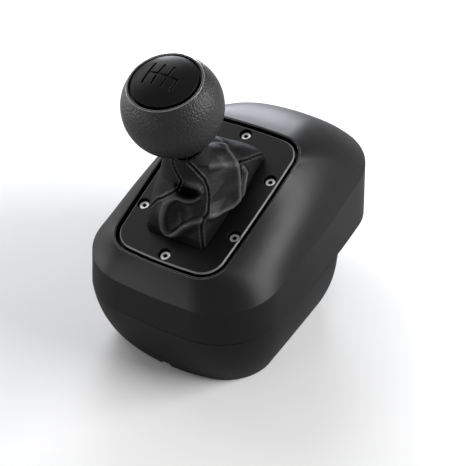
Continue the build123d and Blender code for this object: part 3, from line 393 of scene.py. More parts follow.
    def surface(
        self, inputs: Mapping[int | str, Any], dulled: Signal | float = 0.0
    ) -> bpy.types.Material:
        """Close the graph with a principled surface.

        Args:
            inputs: values or signals of the shader's sockets.
            dulled: share of the light that a rough texture swallows; where it varies, it paints shade.

        Returns:
            The finished material.
        """
        shader = self.node("ShaderNodeBsdfPrincipled", inputs=inputs)
        if isinstance(dulled, Signal) or dulled:
            dark = self.node("ShaderNodeBsdfDiffuse", inputs={"Color": BLACK})
            shader = self.node("ShaderNodeMixShader", inputs={0: dulled, 1: shader, 2: dark})
        self.close(shader)
        return self.owner


def tinted(colour: Colour, gain: float, lift: float = 0.0) -> Colour:
    """Scale and lift a colour, and keep it within 1.

    Args:
        colour: the colour.
        gain: factor of each channel.
        lift: what is added to each channel.

    Returns:
        The new colour.
    """
    return tuple(min(1.0, channel * gain + lift) for channel in colour)


class Finish(Protocol):
    """A finish that can be built as a material."""

    def material(self, name: str) -> bpy.types.Material:
        """Build the finish as a material.

        Args:
            name: the material's name.

        Returns:
            The material.
        """


@dataclass(frozen=True)
class Moulding:
    """Moulded plastic with a fine spark-eroded texture and, where asked, edges lightened as a painted
    highlight.
    """

    colour: Colour
    roughness: float
    grain: float = 0.35
    grain_depth: float = 0.00004
    grain_scale: float = 2200.0
    gloss: float = 0.35
    edge_radius: float = 0.0
    edge_highlight_colour: Colour = (0.05, 0.05, 0.052)
    edge_start: float | None = None
    edge_polish: float = 0.16
    bright_chamfer: bool = False
    dulled: float = 0.0
    cloud_scale: float = 18.0
    sheen_scale: float = 60.0
    cloud_sheen: float = 0.08
    grain_sheen: float = 0.05

    def material(self, name: str) -> bpy.types.Material:
        """Build the finish as a material.

        Args:
            name: the material's name.

        Returns:
            The material.
        """
        graph = Graph(bpy.data.materials.new(name))
        grain = graph.noise(self.grain_scale)
        cloud = graph.noise(self.cloud_scale, 3.0).ramp((0.35, 0.0), (0.7, 1.0))
        tone = graph.blend(cloud, self.colour, tinted(self.colour, 1.35, 0.001))
        sheen = graph.noise(self.sheen_scale, 4.0) * self.cloud_sheen + grain * self.grain_sheen
        sheen = sheen + (self.roughness - (self.cloud_sheen + self.grain_sheen) / 2.0)
        rounded = None
        # Hard edges, and the chamfers where bright_chamfer is set, are lightened with the edge colour: a
        # painted highlight.
        if self.edge_radius:
            rounded = graph.rounded(self.edge_radius)
            highlighted_edges = graph.chamfers() if self.bright_chamfer else graph.edges(rounded)
            if self.edge_start is not None:
                above = graph.lever_height() - self.edge_start
                highlighted_edges = highlighted_edges * above.ramp((0.0, 0.0), (0.5, 1.0))
            tone = graph.blend(highlighted_edges, tone, self.edge_highlight_colour)
            sheen = sheen - highlighted_edges * self.edge_polish
        return graph.surface(
            {
                "Base Color": tone,
                "Roughness": sheen,
                "Specular IOR Level": self.gloss,
                "Normal": graph.bump(grain, self.grain, self.grain_depth, rounded),
            },
            self.dulled,
        )


@dataclass(frozen=True)
class Leather:
    """Grained leather with pebbles, fine creases and, where asked, painted highlights and painted shade."""

    colour: Colour
    roughness: float
    pebble: float
    pebble_depth: float
    crease: float = 0.3
    gloss: float = 0.4
    highlight_colour: Colour | None = None
    shade_colour: Colour = (0.0005, 0.0005, 0.0005)
    painted_light_roughness: float = 0.3
    dulled: float = 0.0
    painted_shade_dulled: float = 0.96
    crease_scale: float = 90.0
    uneven_sheen: float = 0.12

    def material(self, name: str) -> bpy.types.Material:
        """Build the finish as a material.

        Args:
            name: the material's name.

        Returns:
            The material.
        """
        graph = Graph(bpy.data.materials.new(name))
        warp = graph.noise(self.pebble * 0.6)
        cells = graph.cells(self.pebble, "SMOOTH_F1").ramp((0.0, 1.0), (0.75, 0.0))
        pores = graph.noise(self.pebble * 3.0)
        creases = graph.noise(self.crease_scale, 5.0)
        height = cells * 0.8 + warp * 0.25 + pores * 0.12
        height = height + creases.ramp((0.42, 0.0), (0.5, 1.0)) * self.crease * 0.3
        lighter = tinted(self.colour, 1.8, 0.004)
        tone = graph.blend(height.ramp((0.2, 0.0), (1.0, 1.0)), self.colour, lighter)
        sheen = (1.0 - height) * self.uneven_sheen + creases * self.uneven_sheen
        sheen = sheen + (self.roughness - 0.1)
        dulled = self.dulled
        # Painted light read from the mesh layer: a painted highlight along crests and stitch rows, and
        # painted shade in hollows, seam grooves and a rear patch, where the shade also mixes towards black
        # diffuse.
        if self.highlight_colour:
            wear = graph.node(
                "ShaderNodeAttribute", {"attribute_name": PAINTED_LIGHT_LAYER}, output="Fac"
            )
            painted_light_part = wear.ramp((UNPAINTED_LIGHT, 0.0), (1.0, 1.0))
            painted_shade = wear.ramp((0.0, 1.0), (UNPAINTED_LIGHT, 0.0))
            tone = graph.blend(painted_light_part, tone, self.highlight_colour)
            tone = graph.blend(painted_shade, tone, self.shade_colour)
            sheen = sheen + (UNPAINTED_LIGHT - wear) * self.painted_light_roughness
            dulled = wear.ramp((0.1, self.painted_shade_dulled), (UNPAINTED_LIGHT, self.dulled))
        return graph.surface(
            {
                "Base Color": tone,
                "Roughness": sheen,
                "Specular IOR Level": self.gloss,
                "Normal": graph.bump(height, 0.8, self.pebble_depth),
            },
            dulled,
        )


@dataclass(frozen=True)
class Metal:
    """Bare metal with fine drawn lines and an uneven polish."""

    colour: Colour
    roughness: float
    lines: Triple = (1.0, 1.0, 1.0)
    line_scale: float = 900.0
    line_depth: float = 0.00001
    cloud_scale: float = 45.0

    def material(self, name: str) -> bpy.types.Material:
        """Build the finish as a material.

        Args:
            name: the material's name.

        Returns:
            The material.
        """
        graph = Graph(bpy.data.materials.new(name))
        drawn = graph.noise(self.line_scale, 3.0, self.lines)
        cloud = graph.noise(self.cloud_scale, 3.0)
        return graph.surface(
            {
                "Base Color": graph.blend(cloud, self.colour, tinted(self.colour, 0.75)),
                "Metallic": 1.0,
                "Roughness": drawn * 0.12 + cloud * 0.08 + (self.roughness - 0.1),
                "Normal": graph.bump(drawn, 0.3, self.line_depth),
            }
        )


@dataclass(frozen=True)
class SocketSteel:
    """Bright screw heads whose sockets are painted dark as shade, by their depth along the lever."""

    colour: Colour
    roughness: float
    head_top: float = 38.0
    rim: float = 0.35
    socket_shade_colour: Colour = (0.004, 0.004, 0.004)
    turned_scale: float = 2600.0
    turned_depth: float = 0.00001
    cloud_scale: float = 120.0

    def material(self, name: str) -> bpy.types.Material:
        """Build the finish as a material.

        Args:
            name: the material's name.

        Returns:
            The material.
        """
        graph = Graph(bpy.data.materials.new(name))
        height = graph.lever_height() + (1.0 - self.head_top)
        # Below the head's rim the socket is painted dark: painted shade in the recess.
        shaded_socket = height.ramp((1.0 - 2.0 * self.rim, 1.0), (1.0 - self.rim, 0.0))
        turned = graph.cells(self.turned_scale)
        cloud = graph.noise(self.cloud_scale, 3.0)
        bright = graph.blend(cloud, self.colour, tinted(self.colour, 0.7))
        return graph.surface(
            {
                "Base Color": graph.blend(shaded_socket, bright, self.socket_shade_colour),
                "Metallic": 1.0,
                "Roughness": cloud * 0.15 + shaded_socket * 0.3 + (self.roughness - 0.07),
                "Normal": graph.bump(turned, 0.3, self.turned_depth),
            }
        )


@dataclass(frozen=True)
class Rubber:
    """Soft rubber with a dusty bloom."""

    colour: Colour
    roughness: float = 0.75
    gloss: float = 0.3
    grain_scale: float = 1500.0
    grain_depth: float = 0.00006
    bloom_scale: float = 35.0

    def material(self, name: str) -> bpy.types.Material:
        """Build the finish as a material.

        Args:
            name: the material's name.

        Returns:
            The material.
        """
        graph = Graph(bpy.data.materials.new(name))
        grain = graph.noise(self.grain_scale, 3.0)
        bloom = graph.noise(self.bloom_scale, 4.0)
        dusty = bloom.ramp((0.45, 0.0), (0.75, 1.0))
        return graph.surface(
            {
                "Base Color": graph.blend(dusty, self.colour, tinted(self.colour, 1.0, 0.02)),
                "Roughness": bloom * 0.15 + (self.roughness - 0.07),
                "Specular IOR Level": self.gloss,
                "Normal": graph.bump(grain, 0.4, self.grain_depth),
            }
        )


@dataclass(frozen=True)
class CoatedSheet:
    """Powder-coated sheet metal with a slight orange peel."""

    colour: Colour
    roughness: float = 0.45
    gloss: float = 0.4
    peel_scale: float = 700.0
    peel_depth: float = 0.00005
    speck_scale: float = 1400.0

    def material(self, name: str) -> bpy.types.Material:
        """Build the finish as a material.

        Args:
            name: the material's name.

        Returns:
            The material.
        """
        graph = Graph(bpy.data.materials.new(name))
        peel = graph.noise(self.peel_scale)
        speck = graph.cells(self.speck_scale).ramp((0.0, 1.0), (0.5, 0.0))
        return graph.surface(
            {
                "Base Color": graph.blend(speck, self.colour, tinted(self.colour, 1.4)),
                "Roughness": peel * 0.15 + (self.roughness - 0.07),
                "Specular IOR Level": self.gloss,
                "Normal": graph.bump(peel, 0.4, self.peel_depth),
            }
        )


# Finishes by the record's slots
FINISHES: dict[str, Finish] = {
    # The lip's edges above edge_start carry a painted highlight line.
    "housing_plastic": Moulding(
        (0.008, 0.008, 0.0092), 0.38, gloss=0.5, edge_radius=0.0007,
        edge_highlight_colour=(0.95, 0.95, 0.96), edge_start=39.0, dulled=0.7,
    ),
    # Its chamfers carry a painted highlight.
    "bezel_plastic": Moulding(
        (0.011, 0.011, 0.0125), 0.42, 0.5, 0.00008, 1500.0, gloss=0.5, edge_radius=0.0003,
        edge_highlight_colour=(0.62, 0.62, 0.625), bright_chamfer=True, dulled=0.7,
    ),
    "bright_screws": SocketSteel((0.55, 0.55, 0.56), 0.5),
    # Painted highlights and painted shade come from the boot's painted light layer.
    "boot_leather": Leather(
        (0.018, 0.018, 0.019), 0.42, 900.0, 0.00010, gloss=0.5,
        highlight_colour=(0.32, 0.32, 0.325), dulled=0.8,
    ),
    "knob_leather": Leather(
        (0.008, 0.008, 0.0095), 0.42, 1100.0, 0.0004, gloss=0.5, dulled=0.5
    ),
    # Its hard edges carry a faint painted highlight.
    "knob_cap": Moulding(
        (0.010, 0.010, 0.0112), 0.36, 0.4, 0.00006, 1200.0, gloss=0.5, edge_radius=0.0003,
        edge_highlight_colour=(0.3, 0.3, 0.302), dulled=0.8,
    ),
    # Its fillets carry a painted highlight.
    "knob_rim": Moulding(
        (0.004, 0.004, 0.0042), 0.26, 0.2, gloss=0.5, edge_radius=0.0001,
        edge_highlight_colour=(0.18, 0.18, 0.18), bright_chamfer=True,
    ),
    "inner_plastic": Moulding((0.02, 0.02, 0.022), 0.5),
    "boot_clip": Moulding((0.01, 0.01, 0.01), 0.5),
    "screws": Metal((0.22, 0.22, 0.23), 0.4),
    "rubber": Rubber((0.015, 0.015, 0.015)),
    "brass": Metal((0.72, 0.52, 0.22), 0.3),
    "lever_steel": Metal((0.6, 0.6, 0.62), 0.28, (1.0, 1.0, 0.05)),
    "spring_steel": Metal((0.5, 0.5, 0.52), 0.3),
    "light_alloy": Metal((0.7, 0.7, 0.72), 0.42),
    "plate_steel": CoatedSheet((0.03, 0.03, 0.033)),
    "detent_plastic": Moulding((0.75, 0.73, 0.68), 0.35),
    "sensor_plastic": Moulding((0.015, 0.015, 0.02), 0.25),
    "board_green": Moulding((0.01, 0.12, 0.05), 0.3, 0.6, 0.00003, 900.0, 0.5),
    "board_parts": Moulding((0.01, 0.01, 0.012), 0.35),
    "gland_plastic": Rubber((0.01, 0.01, 0.01), 0.6),
    "clamp_metal": CoatedSheet((0.02, 0.02, 0.022)),
    "clamp_screw_steel": Metal((0.55, 0.55, 0.57), 0.3, (1.0, 1.0, 30.0), 60.0),
    "thread": Rubber((0.02, 0.02, 0.021), 0.6),
    "clamp_knob_plastic": Moulding((0.012, 0.012, 0.013), 0.5, 0.6, 0.00008, 1200.0),
}


@dataclass
class Wardrobe:
    """Every finish as a material, by the record's slot."""

    materials: dict[str, bpy.types.Material] = field(default_factory=dict)

    def get(self, slot: str) -> bpy.types.Material:
        """Return a slot's material, built when it is first asked for.

        Args:
            slot: the slot's name.

        Returns:
            The material.
        """
        if slot not in self.materials:
            self.materials[slot] = FINISHES[slot].material(slot)
        return self.materials[slot]

    def dress_nodes(self, frame: Mapping[str, Any]) -> None:
        """Give each solid of the frame the finish of its slot.
        """
        for row in frame["record"]["subparts"]:
            node = frame["nodes"][row["node"]]
            node.data.materials.clear()
            node.data.materials.append(self.get(row["material_slot"]))
            LOG.info("%s: %s", row["node"], row["material_slot"])


def add_object(name: str, data: bpy.types.ID) -> bpy.types.Object:
    """Put a new object at the origin of the scene.

    Args:
        name: the object's name.
        data: its mesh, lamp or camera.

    Returns:
        The object.
    """
    made = bpy.data.objects.new(name, data)
    bpy.context.scene.collection.objects.link(made)
    return made


@dataclass(frozen=True)
class BootRow:
    """One cross-section of the boot, in millimetres along the lever's axes."""

    height: float
    across: float
    slope: float
    half_width: float
    half_length: float
    squareness: float


@dataclass(frozen=True)
class Bulge:
    """A soft swelling or hollow round a turn and height of the boot."""

    turn: float
    height: float
    turn_spread: float
    height_spread: float
    push: float

    def at(self, turn: np.ndarray, height: np.ndarray) -> np.ndarray:
        """Give the bulge's push.

        Args:
            turn: angles round the lever, in degrees.
            height: heights along the lever, in millimetres.

        Returns:
            The push at each place.
        """
        off = (turn - self.turn + 180.0) % 360.0 - 180.0
        rise = (height - self.height) / self.height_spread
        return self.push * np.exp(-((off / self.turn_spread) ** 2) - rise**2)


@dataclass(frozen=True)
class Crest:
    """A crease along a path of turns and heights; left and right are its slopes' widths."""

    path: Path
    push: float
    left: float
    right: float
    edge: float = 0.35


@dataclass(frozen=True)
class Seam:
    """A double-stitched seam along a path of turns and heights."""

    path: Path
    row_gap: float = 1.1
    row_width: float = 0.5
    row_rise: float = 0.4
    # Painted light: a highlight on the stitch rows and shade in the groove
    row_highlight: float = 0.2
    groove: float = 0.35
    groove_width: float = 0.4
    groove_shade: float = 0.45


# The boot's sections, from the hem to the collar
BOOT_ROWS = (
    BootRow(37.5, 0.0, 4.8, 19.2, 35.6, 18.0),
    BootRow(41.0, 0.0, 4.8, 19.4, 35.8, 18.0),
    BootRow(46.0, 0.2, 4.8, 19.9, 34.8, 9.0),
    BootRow(54.0, 0.6, 3.6, 19.4, 29.8, 4.5),
    BootRow(62.0, 1.0, 2.2, 17.4, 22.6, 3.1),
    BootRow(70.0, 0.4, 0.9, 14.2, 15.8, 2.5),
    BootRow(76.0, 0.0, 0.0, 12.2, 12.2, 2.1),
    BootRow(82.0, 0.0, 0.0, 10.9, 10.9, 2.0),
    BootRow(84.4, 0.0, 0.0, 10.5, 10.5, 2.0),
)
# Turns run from the boot's right side towards its rear
BOOT_BULGES = (
    Bulge(195.0, 80.0, 38.0, 9.0, 2.4),
    Bulge(207.0, 63.0, 32.0, 11.0, 3.0),
    Bulge(76.0, 49.0, 20.0, 9.0, 1.2),
    Bulge(48.0, 59.0, 12.0, 6.0, -1.6),
    Bulge(14.0, 45.0, 24.0, 7.0, 2.6),
    Bulge(-84.0, 54.5, 16.0, 6.0, -3.4),
)
# A patch of the rear slope painted in shade, dark and without its sheen: its push is taken from the painted
# light
BOOT_PAINTED_SHADE = Bulge(85.0, 63.0, 34.0, 9.0, 0.45)
# From the rear over the peak and down the right, then across the near side
BOOT_CRESTS = (
    Crest(((106.0, 56.0), (88.0, 60.5), (72.0, 64.5), (60.0, 66.5)), 0.7, 5.0, 10.0, 0.25),
    Crest(((56.0, 67.4), (45.0, 68.0), (26.5, 63.2)), 3.6, 11.0, 12.0, 0.25),
    Crest(((26.5, 63.2), (14.8, 57.4), (4.2, 52.0), (-1.5, 47.0)), 3.6, 5.0, 10.0, 0.25),
    Crest(((-1.5, 47.0), (-10.5, 45.8), (-25.5, 51.4), (-39.0, 55.2)), 2.5, 3.0, 7.0, 0.3),
    Crest(((-3.0, 74.6), (12.0, 71.0), (25.0, 65.4)), 1.3, 10.0, 3.0, 0.3),
    Crest(
        (
            (-51.0, 65.2), (-60.0, 64.2), (-69.0, 64.0), (-79.5, 64.4), (-88.5, 64.4),
            (-100.5, 62.5), (-108.0, 59.8), (-110.0, 55.6), (-110.0, 51.6), (-107.0, 47.4),
            (-101.0, 44.4), (-92.0, 44.2), (-78.5, 47.5), (-68.5, 51.4), (-59.0, 54.8),
            (-51.0, 55.7),
        ),
        3.0, 2.4, 5.0, 0.3,
    ),
    Crest(((-60.0, 72.0), (-52.5, 70.3), (-46.5, 68.2)), 1.2, 2.5, 3.0, 0.6),
    Crest(((-88.0, 69.0), (-75.0, 67.6), (-62.0, 67.2), (-54.0, 66.8)), -2.2, 2.2, 2.2, 0.6),
    Crest(((27.0, 56.0), (23.0, 52.0), (12.0, 48.8), (4.0, 44.6)), 1.8, 3.0, 2.0, 0.3),
)
# At the near corners in the photo, then the rear ones
BOOT_SEAMS = (
    Seam(
        (
            (-102.0, 84.4), (-98.0, 80.8), (-89.0, 76.0), (-80.0, 72.8), (-89.0, 68.0),
            (-106.0, 64.4), (-124.0, 59.6), (-133.0, 53.6), (-135.0, 47.2), (-135.0, 40.0),
        )
    ),
    Seam(
        (
            (-52.0, 84.4), (-39.0, 78.0), (-30.0, 71.6), (-31.0, 66.4), (-36.0, 61.6),
            (-41.0, 57.6), (-46.0, 55.2), (-48.0, 53.2), (-47.0, 48.0), (-45.0, 40.0),
        )
    ),
    Seam(((30.0, 62.0), (36.0, 56.8), (41.0, 51.2), (44.0, 45.0), (45.0, 40.0))),
    Seam(((135.0, 84.4), (138.0, 70.0), (135.0, 55.0), (135.0, 40.0))),
)


@dataclass(frozen=True)
class Boot:
    """The sewn leather gaiter: a swollen skin with creases and double-stitched seams."""

    columns: int = 264
    rows: int = 128
    split_height: float = 55.0
    soft_start: float = 41.0
    hem_fade: float = 3.0
    collar_fade: float = 2.0
    top_blend_end: float = 76.0
    lip_heights: Path = ((84.8, -0.2), (84.8, -0.9), (84.3, -1.3))
    crest_power: float = 1.2
    crest_merge: float = 4.0
    # Widths of the painted highlight along crests and of the painted shade along hollows, and the push that
    # paints them fully
    highlight_width: float = 1.0
    hollow_shade_width: float = 2.5
    full_painted_light_push: float = 2.0
    turn_weight: float = 0.3
    stitch_pitch: float = 2.6
    stitch_length: float = 1.7
    stitch_width: float = 0.42
    stitch_lift: float = 0.1
    stitch_step: float = 0.4
    stitch_margin: float = 1.0
    look_ahead: float = 0.5
    core_heights: tuple[float, float] = (40.0, 84.0)
    core_slopes: tuple[float, float] = (4.8, 0.0)
    core_drop: float = 12.0

    def surface(self, turn: np.ndarray, height: np.ndarray) -> np.ndarray:
        """Place points of the swollen skin, before it is creased.

        Args:
            turn: angles round the lever, in degrees.
            height: heights along the lever, in millimetres.

        Returns:
            Points along the lever's axes, in millimetres.
        """
        stops = [row.height for row in BOOT_ROWS]
        across, slope, wide, long, square = (
            np.interp(height, stops, [getattr(row, name) for row in BOOT_ROWS])
            for name in ("across", "slope", "half_width", "half_length", "squareness")
        )
        cosine, sine = np.cos(np.radians(turn)), np.sin(np.radians(turn))
        reach = (np.abs(cosine) ** square + np.abs(sine) ** square) ** (-1.0 / square)
        push = sum(bulge.at(turn, height) for bulge in BOOT_BULGES) * self.fade(height)
        right = across + (wide * reach + push) * cosine
        rear = slope + (long * reach + push) * sine
        return np.stack([right, rear, height + 0.0 * push], axis=-1)

    def fade(self, height: np.ndarray) -> np.ndarray:
        """Let folds die out towards the hem and the collar.

        Args:
            height: heights along the lever, in millimetres.

        Returns:
            The share of a fold that is left at each height.
        """
        from_hem = np.clip((height - self.soft_start) / self.hem_fade, 0.0, 1.0)
        from_collar = np.clip((BOOT_ROWS[-1].height - height) / self.collar_fade, 0.0, 1.0)
        return from_hem * from_collar

    def along(self, path: Path, step: float = 0.8) -> np.ndarray:
        """Walk a path of turns and heights in small steps on the skin.

        Args:
            path: corners of the path.
            step: the longest step, in millimetres.

        Returns:
            Points along the lever's axes, in millimetres.
        """
        turns, heights = [path[0][0]], [path[0][1]]
        for (turn, height), (next_turn, next_height) in zip(path, path[1:]):
            span = math.hypot((next_turn - turn) * self.turn_weight, next_height - height)
            count = max(1, round(span / step))
            for share in range(1, count + 1):
                turns.append(turn + (next_turn - turn) * share / count)
                heights.append(height + (next_height - height) * share / count)
        return self.surface(np.array(turns), np.array(heights))

    @staticmethod
    def nearest(
        points: np.ndarray, normals: np.ndarray, line: np.ndarray
    ) -> tuple[np.ndarray, np.ndarray]:
        """Measure each point's distance from a line and find on which side it lies.

        Args:
            points: points of the skin.
            normals: their outward directions.
            line: points of the line.

        Returns:
            Distances, and true where a point lies left of the line.
        """
        best = np.full(len(points), np.inf)
        left = np.zeros(len(points), dtype=bool)
        for start, end in zip(line, line[1:]):
            way = end - start
            share = np.clip(((points - start) @ way) / max(way @ way, 1e-9), 0.0, 1.0)
            off = points - start - share[:, None] * way
            distance = np.linalg.norm(off, axis=1)
            side = np.einsum("ij,ij->i", np.cross(way, off), normals) > 0.0
            closer = distance < best
            best = np.where(closer, distance, best)
            left = np.where(closer, side, left)
        return best, left

    def relief(self, points: np.ndarray, normals: np.ndarray) -> tuple[np.ndarray, np.ndarray]:
        """Work out how far creases and seams push the skin out, and its painted light.

        Args:
            points: points of the skin.
            normals: their outward directions.

        Returns:
            The push of each point, in millimetres, and its painted light: 0 is painted shade, 0.5 plain, 1
            painted highlight.
        """
        wear = np.full(len(points), UNPAINTED_LIGHT)
        out = np.zeros(len(points))
        back = np.zeros(len(points))
        for crest in BOOT_CRESTS:
            distance, left = self.nearest(points, normals, self.along(crest.path))
            distance = np.sqrt(distance**2 + crest.edge**2) - crest.edge
            share = np.clip(1.0 - distance / np.where(left, crest.left, crest.right), 0.0, 1.0)
            push = crest.push * share**self.crest_power
            # Crests take a painted highlight and hollows painted shade along their lines.
            width = self.highlight_width if crest.push > 0.0 else self.hollow_shade_width
            painted_light_part = UNPAINTED_LIGHT * np.clip(crest.push / self.full_painted_light_push, -1.0, 1.0)
            wear += painted_light_part * np.exp(-((distance / width) ** 2))
            out += np.maximum(push, 0.0) ** self.crest_merge
            back += np.maximum(-push, 0.0) ** self.crest_merge
        total = out ** (1.0 / self.crest_merge) - back ** (1.0 / self.crest_merge)
        for seam in BOOT_SEAMS:
            distance, _ = self.nearest(points, normals, self.along(seam.path))
            rows = np.exp(-(((distance - seam.row_gap) / seam.row_width) ** 2))
            middle = np.exp(-((distance / seam.groove_width) ** 2))
            total += seam.row_rise * rows - seam.groove * middle
            # Painted highlight on the stitch rows and painted shade in the seam's groove.
            wear += seam.row_highlight * rows - seam.groove_shade * middle
        return total * self.fade(points[:, 2]), np.clip(wear, 0.0, 1.0)

    def skin(self) -> tuple[np.ndarray, np.ndarray]:
        """Shape the whole skin.

        Returns:
            Grids of points along the lever's axes and of their painted light.
        """
        turns = np.linspace(-180.0, 180.0, self.columns + 1)
        heights = np.linspace(BOOT_ROWS[0].height, BOOT_ROWS[-1].height, self.rows + 1)
        turn, height = np.meshgrid(turns, heights, indexing="ij")
        grid = self.surface(turn, height)
        round_way = np.roll(grid[:-1], -1, axis=0) - np.roll(grid[:-1], 1, axis=0)
        round_way = np.concatenate([round_way, round_way[:1]])
        normals = np.cross(round_way, np.gradient(grid, axis=1))
        normals /= np.linalg.norm(normals, axis=-1, keepdims=True)
        push, wear = self.relief(grid.reshape(-1, 3), normals.reshape(-1, 3))
        grid = grid + normals * push.reshape(turn.shape)[..., None]
        # The rear patch is painted in shade.
        wear = np.clip(wear.reshape(turn.shape) - BOOT_PAINTED_SHADE.at(turn, height), 0.0, 1.0)
        lips = []
        for lip_height, inset in self.lip_heights:
            lip = self.surface(turns, np.full_like(turns, BOOT_ROWS[-1].height))
            lip[:, :2] *= 1.0 + inset / BOOT_ROWS[-1].half_width
            lip[:, 2] = lip_height
            lips.append(lip)
        wear = np.pad(wear, ((0, 0), (0, len(lips))), constant_values=UNPAINTED_LIGHT)
        return np.concatenate([grid, np.stack(lips, axis=1)], axis=1), wear

    def add_skin(self, bm: bmesh.types.BMesh, grid: np.ndarray, wear: np.ndarray) -> None:
        """Lay a closed tube of faces over the grid of points.

        Args:
            bm: the mesh that is added to.
            grid: points along the lever's axes.
            wear: their painted light, 0 painted shade to 1 painted highlight.
        """
        columns, rows = grid.shape[0] - 1, grid.shape[1] - 1
        made = bmesh.ops.create_grid(bm, x_segments=columns, y_segments=rows, size=1.0)["verts"]
        axis = LEVER_AXIS.matrix()
        painted_light_part = bm.verts.layers.float[PAINTED_LIGHT_LAYER]
        for vert in made:
            column = round((vert.co.x + 1.0) / 2.0 * columns) % columns
            row = round((vert.co.y + 1.0) / 2.0 * rows)
            vert.co = axis @ (Vector(grid[column, row]) * MM)
            vert[painted_light_part] = wear[column, row]
        bmesh.ops.remove_doubles(bm, verts=made, dist=1e-7)

    def add_stitches(self, bm: bmesh.types.BMesh) -> None:
        """Sew two rows of thread along every seam.

        Args:
            bm: the mesh that is added to.
        """
        for seam in BOOT_SEAMS:
            line = self.along(seam.path, self.stitch_step)
            steps = np.linalg.norm(np.diff(line, axis=0), axis=1)
            lengths = np.concatenate([[0.0], np.cumsum(steps)])
            last = lengths[-1] - self.stitch_pitch
            for place in np.arange(self.stitch_pitch, last, self.stitch_pitch):
                here, ahead = (
                    np.array([np.interp(stop, lengths, line[:, axis]) for axis in range(3)])
                    for stop in (place, place + self.look_ahead)
                )
                if here[2] >= self.soft_start + self.stitch_margin:
                    for side in (-1.0, 1.0):
                        self.add_stitch(bm, seam, here, ahead - here, side)

    def add_stitch(
        self,
        bm: bmesh.types.BMesh,
        seam: Seam,
        here: np.ndarray,
        course: np.ndarray,
        side: float,
    ) -> None:
        """Sew one stitch.

        Args:
            bm: the mesh that is added to.
            seam: the stitch's seam.
            here: the seam's middle beside the stitch, along the lever's axes.
            course: the seam's direction.
            side: -1 or 1 for the two rows.
        """
        way = Vector(course).normalized()
        slope = np.interp(here[2], self.core_heights, self.core_slopes)
        out = (Vector(here) - Vector((0.0, slope, here[2] - self.core_drop))).normalized()
        aside = way.cross(out).normalized()
        out = aside.cross(way).normalized()
        centre = Vector(here) + aside * side * seam.row_gap
        centre += out * (seam.row_rise + self.stitch_lift)
        half_width = self.stitch_width / 2.0
        size = Matrix.Diagonal((self.stitch_length / 2.0, half_width, half_width))
        turned = Matrix((way, aside, out)).transposed()
        axis = LEVER_AXIS.matrix()
        shape = (axis.to_3x3() @ turned @ size).to_4x4()
        shape = Matrix.Translation(axis @ (centre * MM)) @ shape
        made = bmesh.ops.create_uvsphere(
            bm, u_segments=8, v_segments=6, radius=MM, matrix=shape
        )
        for face in {face for vert in made["verts"] for face in vert.link_faces}:
            face.material_index = THREAD_INDEX

    def half(self, whole: bmesh.types.BMesh, is_lower: bool) -> bmesh.types.BMesh:
        """Copy the faces on one side of the split.

        Args:
            whole: the mesh of the whole boot.
            is_lower: whether the copy is the lower part.

        Returns:
            The copy.
        """
        to_lever = LEVER_AXIS.matrix().inverted()
        part = whole.copy()
        doomed = [
            face
            for face in part.faces
            if ((to_lever @ face.calc_center_median()).z < self.split_height * MM) != is_lower
        ]
        bmesh.ops.delete(part, geom=doomed, context="FACES")
        for face in part.faces:
            face.smooth = True
        return part

    def build(self, wardrobe: Wardrobe) -> None:
        """Make the boot in two pieces that bend with the lever's two joints.

        Args:
            wardrobe: the finishes.
        """
        bm = bmesh.new()
        bm.verts.layers.float.new(PAINTED_LIGHT_LAYER)
        self.add_stitches(bm)
        self.add_skin(bm, *self.skin())
        bmesh.ops.recalc_face_normals(bm, faces=bm.faces)
        bm.normal_update()
        bm.verts.index_update()
        normals = [vert.normal.copy() for vert in bm.verts]
        origin = bm.verts.layers.int.new(ORIGIN_LAYER)
        for vert in bm.verts:
            vert[origin] = vert.index
        hem, split, top = self.soft_start - 1.0, self.split_height, self.top_blend_end
        for name, is_lower, bodies, span in (
            ("boot_skirt", True, (Body.HOUSING, Body.YOKE), (hem, split)),
            ("boot_neck", False, (Body.YOKE, Body.LEVER), (split, top)),
        ):
            part = self.half(bm, is_lower)
            layer = part.verts.layers.int[ORIGIN_LAYER]
            kept = [normals[vert[layer]] for vert in part.verts]
            mesh = bpy.data.meshes.new(name)
            part.to_mesh(mesh)
            part.free()
            mesh.normals_split_custom_set_from_vertices(kept)
            mesh.materials.append(wardrobe.get("boot_leather"))
            mesh.materials.append(wardrobe.get("thread"))
            piece = add_object(name, mesh)
            start = LEVER_AXIS.point(0.0, 0.0, span[0])
            end = LEVER_AXIS.point(0.0, 0.0, span[1])
            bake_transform(piece, bodies[0].value, bodies[1].value, start, end)
            if is_lower:
                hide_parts("boot")
            LOG.info("%s: %d faces", name, len(mesh.polygons))
        bm.free()


